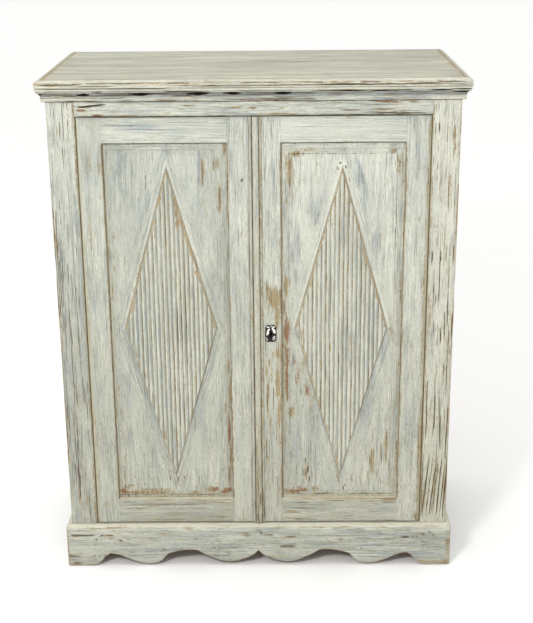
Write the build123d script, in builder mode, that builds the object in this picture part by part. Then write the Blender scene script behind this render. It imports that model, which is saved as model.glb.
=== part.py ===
from build123d import *
import os

os.makedirs("parts", exist_ok=True)

# Painted pine cabinet with two framed doors, a moulded top and a scalloped plinth.
# Millimetres.  +X to the right, -Y to the front, +Z up.
# The origin is on the floor, under the middle of the bounding box.

# ---------------------------------------------------------------- driving sizes
HEIGHT = 1200.0            # floor to the top of the board
TOP_W = 960.0              # top board, left to right
DEPTH = 516.0              # top board, front to back
TOP_T = 17.0               # top board thickness
OVERHANG = 20.0            # top board past the posts, front and sides

BODY_X = TOP_W / 2 - OVERHANG          # 460, outer face of the sides
FRONT = -(DEPTH / 2 - OVERHANG)        # -238, front plane of the posts
BACK = DEPTH / 2                       # 258, back plane
TOP_Z = HEIGHT - TOP_T                 # 1183, underside of the top board

POST_W = 62.5              # front posts, seen from the front
FRAME_T = 25.0             # thickness of posts and front rails
IN_Y = FRONT + FRAME_T     # -213, rear plane of the front frame
OPEN_X = BODY_X - POST_W   # 397.5, half of the door opening
SIDE_T = 20.0              # side boards
SIDE_Z0 = 46.0
IN_X = BODY_X - SIDE_T     # 440, inner face of the sides

FRIEZE_Z0 = 1117.5         # underside of the rail over the doors
SILL_Z0, SILL_Z1 = 60.0, 112.0         # rail under the doors
TENON_L, TENON_T = 25.0, 10.0

BACK_T = 14.0              # back boards, tongued and grooved
BACK_IN = BACK - BACK_T    # 244
BACK_Z0 = 60.0
REBATE = 8.0
BACK_N = 4
TONGUE, TONGUE_T = 5.0, 4.6

FLOOR_T = 20.0
FLOOR_Z0 = 106.0
SHELF_T = 18.0
SHELF_Z = (440.0, 780.0)   # undersides of the shelves
SHELF_FRONT = -186.0
CLEAT_W, CLEAT_H = 20.0, 25.0
BLOCK = 40.0               # square corner blocks that reach the floor

STRETCH_T, STRETCH_W = 22.0, 50.0
STOP_T, STOP_Z0 = 20.0, 1100.0

CORNICE_Z0 = 1152.0
CORNICE_P = 19.0           # projection of the cornice
PLINTH_T = 12.0
PLINTH_Z = 112.0
PLINTH_BEVEL = 5.4

# doors
DOOR_T = 22.0
DOOR_Y0 = FRONT + 2.5      # -235.5, front face of the doors
DOOR_Y1 = DOOR_Y0 + DOOR_T # -213.5, back face of the doors
DOOR_Z0, DOOR_Z1 = 114.0, 1115.5
DOOR_EDGE = 396.5          # outer edge, 1 mm inside the post
OPEN_IN, OPEN_OUT = 60.0, 340.0        # panel opening in each door
OPEN_Z0, OPEN_Z1 = 178.0, 1056.5
MEET_L, MEET_R = -6.0, -4.0            # meeting edges of the two doors
D_TENON_L, D_TENON_T = 30.0, 8.0
GROOVE_D, GROOVE_Y0, GROOVE_Y1 = 8.0, -225.1, -218.9
TONGUE_Y0, TONGUE_Y1 = -225.0, -219.0
FIELD_Y = -228.5           # raised field of the panel
FIELD_IN = 16.0            # width of the bevel round the field

LOZ_X, LOZ_Z = 199.0, 619.0
LOZ_HW, LOZ_HH = 107.1, 380.0
REEDS = 21
REED_P = 2 * LOZ_HW / REEDS
REED_TOP, REED_LOW = -233.0, -230.6
LOZ_EDGE = 0.961           # size of the reeded face against the base

ASTRAGAL_X = (-4.0, 10.5)
ASTRAGAL_P = 9.0
BEAD_W, BEAD_P = 7.0, 3.5

# pivots
PIVOT_X, PIVOT_Y, PIVOT_R = 385.5, -224.5, 4.0
EDGE_R = DOOR_EDGE - PIVOT_X           # 11, rounded hinge edge about the pivot
SOCKET_R, SOCKET_L = 6.0, 18.0
PIN_IN = 20.0              # pin length inside the rail
RUN = 0.05                 # running clearance on a radius
WASHER_R, WASHER_T = 8.5, 1.9

# lock
KEY_X, KEY_Z = 34.5, 606.0
ESC_W, ESC_H, ESC_T = 27.0, 42.5, 1.6
LOCK_X1, LOCK_Z0, LOCK_Z1 = 44.0, 576.0, 636.0
LOCK_Y0 = -223.5
PLATE = 1.2
BOLT_Z0, BOLT_Z1 = 612.0, 626.0
BOLT_Y0, BOLT_Y1 = -221.5, -216.5
BOLT_TRAVEL = 10.0

# slide bolts on the left door
SB_X, SB_Y, SB_R = -35.0, -206.0, 4.0
SB_TRAVEL = 12.0
SB_LEN = 110.0
SB_UP_END, SB_LOW_END = 1096.0, 130.0

# fasteners
NAIL_R, NAIL_L, NAIL_HEAD_R = 1.1, 36.0, 2.6
PIN_R, PIN_L = 0.9, 32.0
SCREW_R, SCREW_HEAD_R = 2.2, 4.2
FIT = 0.05                 # radial clearance round nails and screws

SIDES = ((-1, "left"), (1, "right"))


def block(x0, x1, y0, y1, z0, z1, mode=Mode.ADD):
    """Rectangular member between two corners, added to the open part."""
    with Locations(((x0 + x1) / 2, (y0 + y1) / 2, (z0 + z1) / 2)):
        Box(x1 - x0, y1 - y0, z1 - z0, mode=mode)


def span(s, a, b):
    """Interval a..b on the right-hand side, mirrored for the left (s = -1)."""
    return (a, b) if s > 0 else (-b, -a)


def rod(x, y, z, r, length, axis, mode=Mode.ADD):
    """Round bar that starts at x, y, z and runs along axis."""
    plane = Plane(origin=(x, y, z), z_dir=axis)
    with Locations(plane.location):
        Cylinder(r, length, align=(Align.CENTER, Align.CENTER, Align.MIN), mode=mode)


def taper(x, y, z, r0, r1, length, axis, mode=Mode.ADD):
    """Cone that starts with radius r0 at x, y, z and runs along axis."""
    plane = Plane(origin=(x, y, z), z_dir=axis)
    with Locations(plane.location):
        Cone(r0, r1, length, align=(Align.CENTER, Align.CENTER, Align.MIN), mode=mode)


def save(piece, name):
    """Label the finished piece and write it."""
    piece.part.label = name
    export_step(piece.part, f"parts/{name}.step")


# ---------------------------------------------------------------- fastener places
# Each entry is (x, y, z, direction).  The point is the outer face of the head.
cornice_pins = [(x, FRONT - 8.0, 1156.0, (0, 1, 0)) for x in (-428, -150, 150, 428)]
cornice_side_pins = [(s * (BODY_X + 8.0), y, 1156.0, (-s, 0, 0)) for s, _ in SIDES for y in (-150, 20, 190)]
plinth_pins = [(x, FRONT - PLINTH_T, 86.0, (0, 1, 0)) for x in (-428, -300, -100, 100, 300, 428)]
plinth_side_pins = [(s * (BODY_X + PLINTH_T), y, 86.0, (-s, 0, 0)) for s, _ in SIDES for y in (-150, 20, 190)]
pin_places = cornice_pins + cornice_side_pins + plinth_pins + plinth_side_pins

board_w = 2 * (IN_X + REBATE) / BACK_N
back_nails = []
for i in range(BACK_N):
    xc = -(IN_X + REBATE) + (i + 0.5) * board_w
    for dx in (-70, 70):
        back_nails += [(xc + dx, BACK, FLOOR_Z0 + FLOOR_T / 2, (0, -1, 0)),
                       (xc + dx, BACK, TOP_Z - STRETCH_T / 2, (0, -1, 0))]
    for z in SHELF_Z:
        back_nails.append((xc, BACK, z + SHELF_T / 2, (0, -1, 0)))

cleat_screws = []
for s, _ in SIDES:
    for z in SHELF_Z:
        for y in (-120, 180):
            cleat_screws.append((s * (IN_X - CLEAT_W), y, z - CLEAT_H / 2, (s, 0, 0)))
    for y in (-110, 10, 140):
        cleat_screws.append((s * (IN_X - CLEAT_W), y, FLOOR_Z0 - 10.0, (s, 0, 0)))
CLEAT_SCREW_L = 34.0

top_screws = [(x, y, TOP_Z - STRETCH_T, (0, 0, 1)) for x in (-320, 0, 320)
              for y in (IN_Y + 30.0, BACK_IN - 25.0)]
TOP_SCREW_L = 33.0


def pin_holes(places):
    for x, y, z, d in places:
        rod(x - d[0] * 0.5, y - d[1] * 0.5, z, PIN_R + FIT, PIN_L + 1.0, d, Mode.SUBTRACT)


def nail_holes():
    for x, y, z, d in back_nails:
        rod(x, y + 0.5, z, NAIL_R + FIT, NAIL_L + 1.0, d, Mode.SUBTRACT)
        rod(x, y + 0.5, z, NAIL_HEAD_R + FIT, 1.7, d, Mode.SUBTRACT)


def screw_holes(places, length):
    for x, y, z, d in places:
        rod(x, y, z, SCREW_R + FIT, length + 1.0, d, Mode.SUBTRACT)
        taper(x, y, z, SCREW_HEAD_R + 0.2, SCREW_R + FIT, 2.6, d, Mode.SUBTRACT)


# ---------------------------------------------------------------- top board
with BuildPart() as top_board:
    with BuildSketch(Plane.XY.offset(TOP_Z)):
        with Locations((0, 0)):
            Rectangle(TOP_W, DEPTH)
    extrude(amount=TOP_T)
    # shallow bevel on the front and the two ends
    with BuildSketch(Plane.YZ):
        with BuildLine():
            Polyline((-BACK + 11.0, HEIGHT), (-BACK - 1.0, HEIGHT - 5.5), (-BACK - 1.0, HEIGHT + 1.0),
                     (-BACK + 11.0, HEIGHT + 1.0), close=True)
        make_face()
    extrude(amount=TOP_W, both=True, mode=Mode.SUBTRACT)
    for s, _ in SIDES:
        with BuildSketch(Plane.XZ):
            with BuildLine():
                Polyline((s * (TOP_W / 2 - 11.0), HEIGHT), (s * (TOP_W / 2 + 1.0), HEIGHT - 5.5),
                         (s * (TOP_W / 2 + 1.0), HEIGHT + 1.0), (s * (TOP_W / 2 - 11.0), HEIGHT + 1.0),
                         close=True)
            make_face()
        extrude(amount=DEPTH, both=True, mode=Mode.SUBTRACT)
    # rounded nose: lower and upper arris of the front and end faces
    low = top_board.edges().group_by(Axis.Z)[0]
    fillet([e for e in low if e.center().Y < BACK - 5], radius=3.0)
    mid = top_board.edges().filter_by(lambda e: abs(e.center().Z - (HEIGHT - 5.04)) < 0.2
                                      and e.center().Y < BACK - 5)
    fillet(mid, radius=2.5)
    screw_holes(top_screws, TOP_SCREW_L)
save(top_board, "top_board")

# ---------------------------------------------------------------- front frame
for s, side in SIDES:
    with BuildPart() as post:
        x0, x1 = span(s, OPEN_X, BODY_X)
        block(x0, x1, FRONT, IN_Y, 0, TOP_Z)
        tx0, tx1 = span(s, OPEN_X - 1, OPEN_X + TENON_L + 0.5)
        ym = FRONT + FRAME_T / 2
        block(tx0, tx1, ym - TENON_T / 2, ym + TENON_T / 2, FRIEZE_Z0 + 5, TOP_Z - 5, Mode.SUBTRACT)
        block(tx0, tx1, ym - TENON_T / 2, ym + TENON_T / 2, SILL_Z0 + 5, SILL_Z1 - 5, Mode.SUBTRACT)
        pin_holes(cornice_pins + plinth_pins)
    save(post, f"front_post_{side}")

with BuildPart() as frieze_rail:
    block(-OPEN_X, OPEN_X, FRONT, IN_Y, FRIEZE_Z0, TOP_Z)
    ym = FRONT + FRAME_T / 2
    block(-OPEN_X - TENON_L, OPEN_X + TENON_L, ym - TENON_T / 2, ym + TENON_T / 2, FRIEZE_Z0 + 5, TOP_Z - 5)
    for s, _ in SIDES:
        rod(s * PIVOT_X, PIVOT_Y, FRIEZE_Z0 - 1, PIVOT_R, PIN_IN + 1, (0, 0, 1), Mode.SUBTRACT)
    pin_holes(cornice_pins)
save(frieze_rail, "frieze_rail")

with BuildPart() as sill_rail:
    block(-OPEN_X, OPEN_X, FRONT, IN_Y, SILL_Z0, SILL_Z1)
    ym = FRONT + FRAME_T / 2
    block(-OPEN_X - TENON_L, OPEN_X + TENON_L, ym - TENON_T / 2, ym + TENON_T / 2, SILL_Z0 + 5, SILL_Z1 - 5)
    for s, _ in SIDES:
        rod(s * PIVOT_X, PIVOT_Y, SILL_Z1 + 1, PIVOT_R, PIN_IN + 1, (0, 0, -1), Mode.SUBTRACT)
    pin_holes(plinth_pins)
save(sill_rail, "bottom_rail")

# ---------------------------------------------------------------- sides
for s, side in SIDES:
    with BuildPart() as side_board:
        x0, x1 = span(s, IN_X, BODY_X)
        block(x0, x1, IN_Y, BACK, SIDE_Z0, TOP_Z)
        rx0, rx1 = span(s, IN_X - 1, IN_X + REBATE)
        block(rx0, rx1, BACK_IN, BACK + 1, BACK_Z0, TOP_Z, Mode.SUBTRACT)
        screw_holes(cleat_screws, CLEAT_SCREW_L)
        pin_holes(cornice_side_pins + plinth_side_pins)
    save(side_board, f"side_{side}")

# ---------------------------------------------------------------- inside
with BuildPart() as corner_blocks:
    for s, _ in SIDES:
        x0, x1 = span(s, IN_X - BLOCK, IN_X)
        block(x0, x1, IN_Y, IN_Y + BLOCK, 0, FLOOR_Z0)
        block(x0, x1, BACK_IN - BLOCK, BACK_IN, 0, FLOOR_Z0)
save(corner_blocks, "corner_blocks")

with BuildPart() as floor_cleats:
    for s, _ in SIDES:
        x0, x1 = span(s, IN_X - CLEAT_W, IN_X)
        block(x0, x1, IN_Y + BLOCK, BACK_IN - BLOCK, FLOOR_Z0 - 20, FLOOR_Z0)
    screw_holes(cleat_screws, CLEAT_SCREW_L)
save(floor_cleats, "floor_cleats")

with BuildPart() as floor_board:
    block(-IN_X, IN_X, IN_Y, BACK_IN, FLOOR_Z0, FLOOR_Z0 + FLOOR_T)
    # keeper hole for the lower slide bolt
    rod(SB_X, SB_Y, FLOOR_Z0 + FLOOR_T + 1, SB_R + 0.6, 14.0, (0, 0, -1), Mode.SUBTRACT)
    nail_holes()
save(floor_board, "floor_board")

with BuildPart() as shelf_cleats:
    for s, _ in SIDES:
        x0, x1 = span(s, IN_X - CLEAT_W, IN_X)
        for z in SHELF_Z:
            block(x0, x1, SHELF_FRONT + 10, BACK_IN - 4, z - CLEAT_H, z)
    screw_holes(cleat_screws, CLEAT_SCREW_L)
save(shelf_cleats, "shelf_cleats")

for z, name in zip(SHELF_Z, ("shelf_lower", "shelf_upper")):
    with BuildPart() as shelf:
        block(-IN_X + 0.5, IN_X - 0.5, SHELF_FRONT, BACK_IN, z, z + SHELF_T)
        front_edges = shelf.edges().filter_by(Axis.X).group_by(Axis.Y)[0]
        fillet(front_edges, radius=2.0)
        nail_holes()
    save(shelf, name)

with BuildPart() as stretcher_front:
    block(-IN_X, IN_X, IN_Y, IN_Y + STRETCH_W, TOP_Z - STRETCH_T, TOP_Z)
    screw_holes(top_screws, TOP_SCREW_L)
save(stretcher_front, "top_stretcher_front")

with BuildPart() as stretcher_rear:
    block(-IN_X, IN_X, BACK_IN - STRETCH_W, BACK_IN, TOP_Z - STRETCH_T, TOP_Z)
    screw_holes(top_screws, TOP_SCREW_L)
    nail_holes()
save(stretcher_rear, "top_stretcher_rear")

with BuildPart() as door_stop:
    block(-IN_X, IN_X, IN_Y, IN_Y + STOP_T, STOP_Z0, TOP_Z - STRETCH_T)
    # keeper hole for the upper slide bolt
    rod(SB_X, SB_Y, STOP_Z0 - 1, SB_R + 0.6, 14.0, (0, 0, 1), Mode.SUBTRACT)
save(door_stop, "door_stop_strip")

# ---------------------------------------------------------------- back boards
for i in range(BACK_N):
    a = -(IN_X + REBATE) + i * board_w
    b = a + board_w
    ym = (BACK_IN + BACK) / 2
    with BuildPart() as back_board:
        left_edge = a + (0.0 if i == 0 else 0.4)
        block(left_edge, b, BACK_IN, BACK, BACK_Z0, TOP_Z)
        if i < BACK_N - 1:
            # tongue that enters the next board
            block(b, b + TONGUE, ym - TONGUE_T / 2, ym + TONGUE_T / 2, BACK_Z0, TOP_Z)
        if i > 0:
            # groove for the tongue of the board before
            block(a - 1, a + TONGUE + 0.6, ym - TONGUE_T / 2 - 0.1, ym + TONGUE_T / 2 + 0.1,
                  BACK_Z0 - 1, TOP_Z + 1, Mode.SUBTRACT)
        nail_holes()
    save(back_board, f"back_board_{i + 1}")

# ---------------------------------------------------------------- cornice
# Moulding section: t is the projection from the face it is nailed to.
cove = [(8.0, 1163.0), (8.9, 1166.0), (10.4, 1168.4), (12.4, 1170.0), (15.0, 1172.2), (17.4, 1173.6)]


def cornice_section(place):
    """Closed section of the cornice, drawn in the open sketch; place maps t, z to the sketch."""
    with BuildLine() as outline:
        Polyline(place(0, TOP_Z), place(0, CORNICE_Z0), place(7.2, CORNICE_Z0), place(8.0, CORNICE_Z0 + 0.8),
                 place(*cove[0]))
        Spline(*[place(*p) for p in cove])
        Line(place(*cove[-1]), place(17.4, 1176.0))
        ThreePointArc(place(17.4, 1176.0), place(CORNICE_P, 1179.2), place(17.4, TOP_Z - 0.6))
        Polyline(place(17.4, TOP_Z - 0.6), place(17.4, TOP_Z), place(0, TOP_Z))
    make_face(outline.edges())


MITRE_R = Plane(origin=(BODY_X, FRONT, 0), z_dir=(1, 1, 0))
MITRE_L = Plane(origin=(-BODY_X, FRONT, 0), z_dir=(-1, 1, 0))

with BuildPart() as cornice_front:
    with BuildSketch(Plane.YZ):
        cornice_section(lambda t, z: (FRONT - t, z))
    extrude(amount=BODY_X + CORNICE_P + 2, both=True)
    split(bisect_by=MITRE_R, keep=Keep.BOTTOM)
    split(bisect_by=MITRE_L, keep=Keep.BOTTOM)
    pin_holes(cornice_pins)
save(cornice_front, "cornice_front")

for s, side in SIDES:
    with BuildPart() as cornice_side:
        with BuildSketch(Plane.XZ.offset(-BACK)):
            cornice_section(lambda t, z: (s * (BODY_X + t), z))
        extrude(amount=BACK - FRONT + CORNICE_P + 2)
        split(bisect_by=MITRE_R if s > 0 else MITRE_L, keep=Keep.TOP)
        pin_holes(cornice_side_pins)
    save(cornice_side, f"cornice_{side}")

# ---------------------------------------------------------------- plinth
# Half of the scalloped lower edge, from the foot to the middle: outer curve and inner curve.
scallop_out = [(403, 0), (396, 5), (389, 13), (380, 24), (370, 31.5), (364.5, 33.4), (350, 31), (335, 25.5),
               (315, 16), (296, 9), (280, 6), (267, 5), (255, 6.5), (245, 10.5), (236, 17.5), (229.5, 26),
               (224, 32)]
scallop_in = [(224, 32), (210, 36.5), (190, 41), (168, 43.5), (150, 41), (133, 31), (112, 20.5), (92, 12.5),
              (71, 10), (50, 13), (30, 20), (12, 29), (0, 41)]
W = BODY_X + PLINTH_T

with BuildPart() as plinth_front:
    with BuildSketch(Plane.XZ.offset(-FRONT)):
        with BuildLine():
            for s, _ in SIDES:
                Spline(*[(s * x, z) for x, z in scallop_out])
                Spline(*[(s * x, z) for x, z in scallop_in])
                Line((s * 403, 0), (s * W, 0))
                Line((s * W, 0), (s * W, PLINTH_Z))
            Line((-W, PLINTH_Z), (W, PLINTH_Z))
        make_face()
    extrude(amount=PLINTH_T)
    with BuildSketch(Plane.YZ):
        with BuildLine():
            Polyline((FRONT, PLINTH_Z), (FRONT - PLINTH_T - 1, PLINTH_Z - PLINTH_BEVEL * 13 / 12),
                     (FRONT - PLINTH_T - 1, PLINTH_Z + 1), (FRONT, PLINTH_Z + 1), close=True)
        make_face()
    extrude(amount=W + 5, both=True, mode=Mode.SUBTRACT)
    split(bisect_by=MITRE_R, keep=Keep.BOTTOM)
    split(bisect_by=MITRE_L, keep=Keep.BOTTOM)
    pin_holes(plinth_pins)
save(plinth_front, "plinth_front")

# The ends carry one arch between two feet, in the same vocabulary.
end_half = [(0, 0), (7, 5), (14, 13), (23, 24), (33, 31.5), (38.5, 33.4), (53, 31), (64, 27.5), (72, 28.5), (79, 34)]
end_arch = [(79, 34), (93, 37.5), (113, 41), (140, 43.5), (186, 45)]
Y0, Y1 = FRONT - PLINTH_T, BACK
FOOT = 68.0
for s, side in SIDES:
    with BuildPart() as plinth_side:
        with BuildSketch(Plane.YZ.offset(s * BODY_X if s > 0 else -BODY_X - PLINTH_T)):
            with BuildLine():
                f0, f1 = Y0 + FOOT, Y1 - FOOT
                ym = (f0 + f1) / 2
                k = (ym - f0) / 186.0
                Line((Y0, 0), (f0, 0))
                Spline(*[(f0 + u * k, z) for u, z in end_half])
                Spline(*[(f0 + u * k, z) for u, z in end_arch] + [(f1 - u * k, z) for u, z in reversed(end_arch[:-1])])
                Spline(*[(f1 - u * k, z) for u, z in end_half])
                Line((f1, 0), (Y1, 0))
                Line((Y1, 0), (Y1, PLINTH_Z))
                Line((Y1, PLINTH_Z), (Y0, PLINTH_Z))
                Line((Y0, PLINTH_Z), (Y0, 0))
            make_face()
        extrude(amount=PLINTH_T)
        with BuildSketch(Plane.XZ):
            with BuildLine():
                Polyline((s * BODY_X, PLINTH_Z), (s * (W + 1), PLINTH_Z - PLINTH_BEVEL * 13 / 12),
                         (s * (W + 1), PLINTH_Z + 1), (s * BODY_X, PLINTH_Z + 1), close=True)
            make_face()
        extrude(amount=DEPTH, both=True, mode=Mode.SUBTRACT)
        split(bisect_by=MITRE_R if s > 0 else MITRE_L, keep=Keep.TOP)
        pin_holes(plinth_side_pins)
    save(plinth_side, f"plinth_{side}")

# ---------------------------------------------------------------- fasteners of the carcass
with BuildPart() as moulding_pins:
    for x, y, z, d in pin_places:
        rod(x, y, z, PIN_R, PIN_L, d)
save(moulding_pins, "moulding_pins")

with BuildPart() as back_nail_group:
    for x, y, z, d in back_nails:
        rod(x, y - 0.2, z, NAIL_HEAD_R, 1.0, d)
        rod(x, y - 0.2, z, NAIL_R, NAIL_L - 0.5, d)
save(back_nail_group, "back_nails")

with BuildPart() as cleat_screw_group:
    for x, y, z, d in cleat_screws:
        rod(x + d[0] * 0.1, y, z, SCREW_R, CLEAT_SCREW_L, d)
        taper(x + d[0] * 0.1, y, z, SCREW_HEAD_R, SCREW_R, 2.4, d)
save(cleat_screw_group, "cleat_screws")

with BuildPart() as top_screw_group:
    for x, y, z, d in top_screws:
        rod(x, y, z + 0.1, SCREW_R, TOP_SCREW_L, d)
        taper(x, y, z + 0.1, SCREW_HEAD_R, SCREW_R, 2.4, d)
save(top_screw_group, "top_screws")

with BuildPart() as pivot_pins:
    for s, _ in SIDES:
        rod(s * PIVOT_X, PIVOT_Y, SILL_Z1 - PIN_IN, PIVOT_R, PIN_IN + 18.0, (0, 0, 1))
        rod(s * PIVOT_X, PIVOT_Y, FRIEZE_Z0 + PIN_IN, PIVOT_R, PIN_IN + 18.0, (0, 0, -1))
save(pivot_pins, "pivot_pins")

with BuildPart() as pivot_washers:
    for s, _ in SIDES:
        rod(s * PIVOT_X, PIVOT_Y, SILL_Z1, WASHER_R, WASHER_T, (0, 0, 1))
        rod(s * PIVOT_X, PIVOT_Y, SILL_Z1 - 1, PIVOT_R + RUN, WASHER_T + 2, (0, 0, 1), Mode.SUBTRACT)
save(pivot_washers, "pivot_washers")

# ---------------------------------------------------------------- doors
for s, side in SIDES:
    meet = MEET_R if s > 0 else -MEET_L        # distance of the meeting edge, mirrored for the left door
    ym = (DOOR_Y0 + DOOR_Y1) / 2

    # hinge stile: square inside, half round about the pivot axis outside
    with BuildPart() as hinge_stile:
        with BuildSketch(Plane.XY.offset(DOOR_Z0)):
            x0, x1 = span(s, OPEN_OUT, PIVOT_X)
            with Locations(((x0 + x1) / 2, ym)):
                Rectangle(x1 - x0, DOOR_T)
            with Locations((s * PIVOT_X, PIVOT_Y)):
                Circle(EDGE_R)
        extrude(amount=DOOR_Z1 - DOOR_Z0)
        mx0, mx1 = span(s, OPEN_OUT - 1, OPEN_OUT + D_TENON_L + 1)
        for z0, z1 in ((DOOR_Z0 + 5, OPEN_Z0 - 10), (OPEN_Z1 + 10, DOOR_Z1 - 5)):
            block(mx0, mx1, ym - D_TENON_T / 2, ym + D_TENON_T / 2, z0, z1, Mode.SUBTRACT)
        gx0, gx1 = span(s, OPEN_OUT - 1, OPEN_OUT + GROOVE_D)
        block(gx0, gx1, GROOVE_Y0, GROOVE_Y1, OPEN_Z0 - GROOVE_D, OPEN_Z1 + GROOVE_D, Mode.SUBTRACT)
        rod(s * PIVOT_X, PIVOT_Y, DOOR_Z0 - 1, SOCKET_R, SOCKET_L + 1, (0, 0, 1), Mode.SUBTRACT)
        rod(s * PIVOT_X, PIVOT_Y, DOOR_Z1 + 1, SOCKET_R, SOCKET_L + 1, (0, 0, -1), Mode.SUBTRACT)
    save(hinge_stile, f"{side}_door_hinge_stile")

    # meeting stile
    with BuildPart() as meeting_stile:
        x0, x1 = (meet, OPEN_IN) if s > 0 else (-OPEN_IN, -meet)
        block(x0, x1, DOOR_Y0, DOOR_Y1, DOOR_Z0, DOOR_Z1)
        mx0, mx1 = span(s, OPEN_IN - D_TENON_L - 1, OPEN_IN + 1)
        for z0, z1 in ((DOOR_Z0 + 5, OPEN_Z0 - 10), (OPEN_Z1 + 10, DOOR_Z1 - 5)):
            block(mx0, mx1, ym - D_TENON_T / 2, ym + D_TENON_T / 2, z0, z1, Mode.SUBTRACT)
        gx0, gx1 = span(s, OPEN_IN - GROOVE_D, OPEN_IN + 1)
        block(gx0, gx1, GROOVE_Y0, GROOVE_Y1, OPEN_Z0 - GROOVE_D, OPEN_Z1 + GROOVE_D, Mode.SUBTRACT)
        if s > 0:
            # housing for the lock case and its edge plate, open to the inside and the meeting edge
            block(MEET_R - 1, LOCK_X1, LOCK_Y0, DOOR_Y1 + 1, LOCK_Z0, LOCK_Z1, Mode.SUBTRACT)
            block(MEET_R - 1, MEET_R + PLATE, LOCK_Y0 - 2, DOOR_Y1 + 1, LOCK_Z0 - 8, LOCK_Z1 + 8, Mode.SUBTRACT)
            # keyhole through the front of the stile
            rod(KEY_X, DOOR_Y0 - 1, KEY_Z, 3.6, LOCK_Y0 - DOOR_Y0 + 2, (0, 1, 0), Mode.SUBTRACT)
            block(KEY_X - 1.6, KEY_X + 1.6, DOOR_Y0 - 1, LOCK_Y0 + 1, KEY_Z - 11, KEY_Z, Mode.SUBTRACT)
            for dx, dz in ((-11, -18.5), (11, -18.5), (-11, 18.5), (11, 18.5)):
                rod(KEY_X + dx, DOOR_Y0 - 1, KEY_Z + dz, 0.6 + FIT, 10.0, (0, 1, 0), Mode.SUBTRACT)
            for z in (LOCK_Z0 - 5, LOCK_Z1 + 5):
                rod(MEET_R - 1, (LOCK_Y0 + DOOR_Y1) / 2, z, 1.2 + FIT, 17.0, (1, 0, 0), Mode.SUBTRACT)
        else:
            # mortise that takes the lock bolt, behind a strike plate let into the edge
            block(MEET_L - 14, MEET_L + 1, BOLT_Y0 - 0.8, BOLT_Y1 + 0.8, BOLT_Z0 - 1, BOLT_Z1 + 1, Mode.SUBTRACT)
            block(MEET_L - 1.5, MEET_L + 1, -224.5, -214.5, 592, 646, Mode.SUBTRACT)
            for z in (599, 639):
                rod(MEET_L + 1, -219.5, z, 1.2 + FIT, 15.0, (-1, 0, 0), Mode.SUBTRACT)
            # screws of the two slide bolts
            for z in (999.0, 1022.0, 1058.0, 1081.0, 145.0, 168.0, 204.0, 227.0):
                rod(SB_X + 10.5, DOOR_Y1 + 1, z, 1.2 + FIT, 13.0, (0, -1, 0), Mode.SUBTRACT)
    save(meeting_stile, f"{side}_door_meeting_stile")

    # rails with tenons and a groove for the panel
    for z0, z1, tz0, tz1, gz0, gz1, name in (
            (OPEN_Z1, DOOR_Z1, OPEN_Z1 + 10, DOOR_Z1 - 5, OPEN_Z1 - 1, OPEN_Z1 + GROOVE_D, "top_rail"),
            (DOOR_Z0, OPEN_Z0, DOOR_Z0 + 5, OPEN_Z0 - 10, OPEN_Z0 - GROOVE_D, OPEN_Z0 + 1, "bottom_rail")):
        with BuildPart() as rail:
            x0, x1 = span(s, OPEN_IN, OPEN_OUT)
            block(x0, x1, DOOR_Y0, DOOR_Y1, z0, z1)
            block(x0 - D_TENON_L, x1 + D_TENON_L, ym - D_TENON_T / 2, ym + D_TENON_T / 2, tz0, tz1)
            block(x0 - 1, x1 + 1, GROOVE_Y0, GROOVE_Y1, gz0, gz1, Mode.SUBTRACT)
        save(rail, f"{side}_door_{name}")

    # fielded panel, tongue all round in the grooves
    with BuildPart() as panel:
        px0, px1 = span(s, OPEN_IN, OPEN_OUT)
        g = GROOVE_D - 0.5
        block(px0 - g, px1 + g, TONGUE_Y0, TONGUE_Y1, OPEN_Z0 - g, OPEN_Z1 + g)
        xc, zc = (px0 + px1) / 2, (OPEN_Z0 + OPEN_Z1) / 2
        with BuildSketch(Plane.XZ.offset(-TONGUE_Y0)):
            with Locations((xc, zc)):
                Rectangle(px1 - px0 - 0.4, OPEN_Z1 - OPEN_Z0 - 0.4)
        with BuildSketch(Plane.XZ.offset(-FIELD_Y)):
            with Locations((xc, zc)):
                Rectangle(px1 - px0 - 2 * FIELD_IN, OPEN_Z1 - OPEN_Z0 - 2 * FIELD_IN)
        loft(ruled=True)
    save(panel, f"{side}_door_panel")

    # reeded lozenge on the panel, bevelled round its edge
    with BuildPart() as lozenge:
        with BuildSketch(Plane.XY.offset(LOZ_Z - LOZ_HH)):
            with BuildLine():
                a, b = s * LOZ_X - LOZ_HW, s * LOZ_X + LOZ_HW
                for i in range(REEDS):
                    r0, r1 = a + i * REED_P, a + (i + 1) * REED_P
                    ThreePointArc((r0, REED_LOW), ((r0 + r1) / 2, REED_TOP), (r1, REED_LOW))
                Polyline((a, REED_LOW), (a, FIELD_Y), (b, FIELD_Y), (b, REED_LOW))
            make_face()
        extrude(amount=2 * LOZ_HH)
        with BuildSketch(Plane.XZ.offset(-FIELD_Y)) as base_sketch:
            with BuildLine():
                Polyline((s * LOZ_X - LOZ_HW, LOZ_Z), (s * LOZ_X, LOZ_Z - LOZ_HH), (s * LOZ_X + LOZ_HW, LOZ_Z),
                         (s * LOZ_X, LOZ_Z + LOZ_HH), close=True)
            make_face()
        with BuildSketch(Plane.XZ.offset(-REED_TOP)) as face_sketch:
            with BuildLine():
                w, h = LOZ_HW * LOZ_EDGE, LOZ_HH * LOZ_EDGE
                Polyline((s * LOZ_X - w, LOZ_Z), (s * LOZ_X, LOZ_Z - h), (s * LOZ_X + w, LOZ_Z),
                         (s * LOZ_X, LOZ_Z + h), close=True)
            make_face()
        loft(ruled=True, mode=Mode.INTERSECT)
    save(lozenge, f"{side}_door_lozenge")

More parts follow.
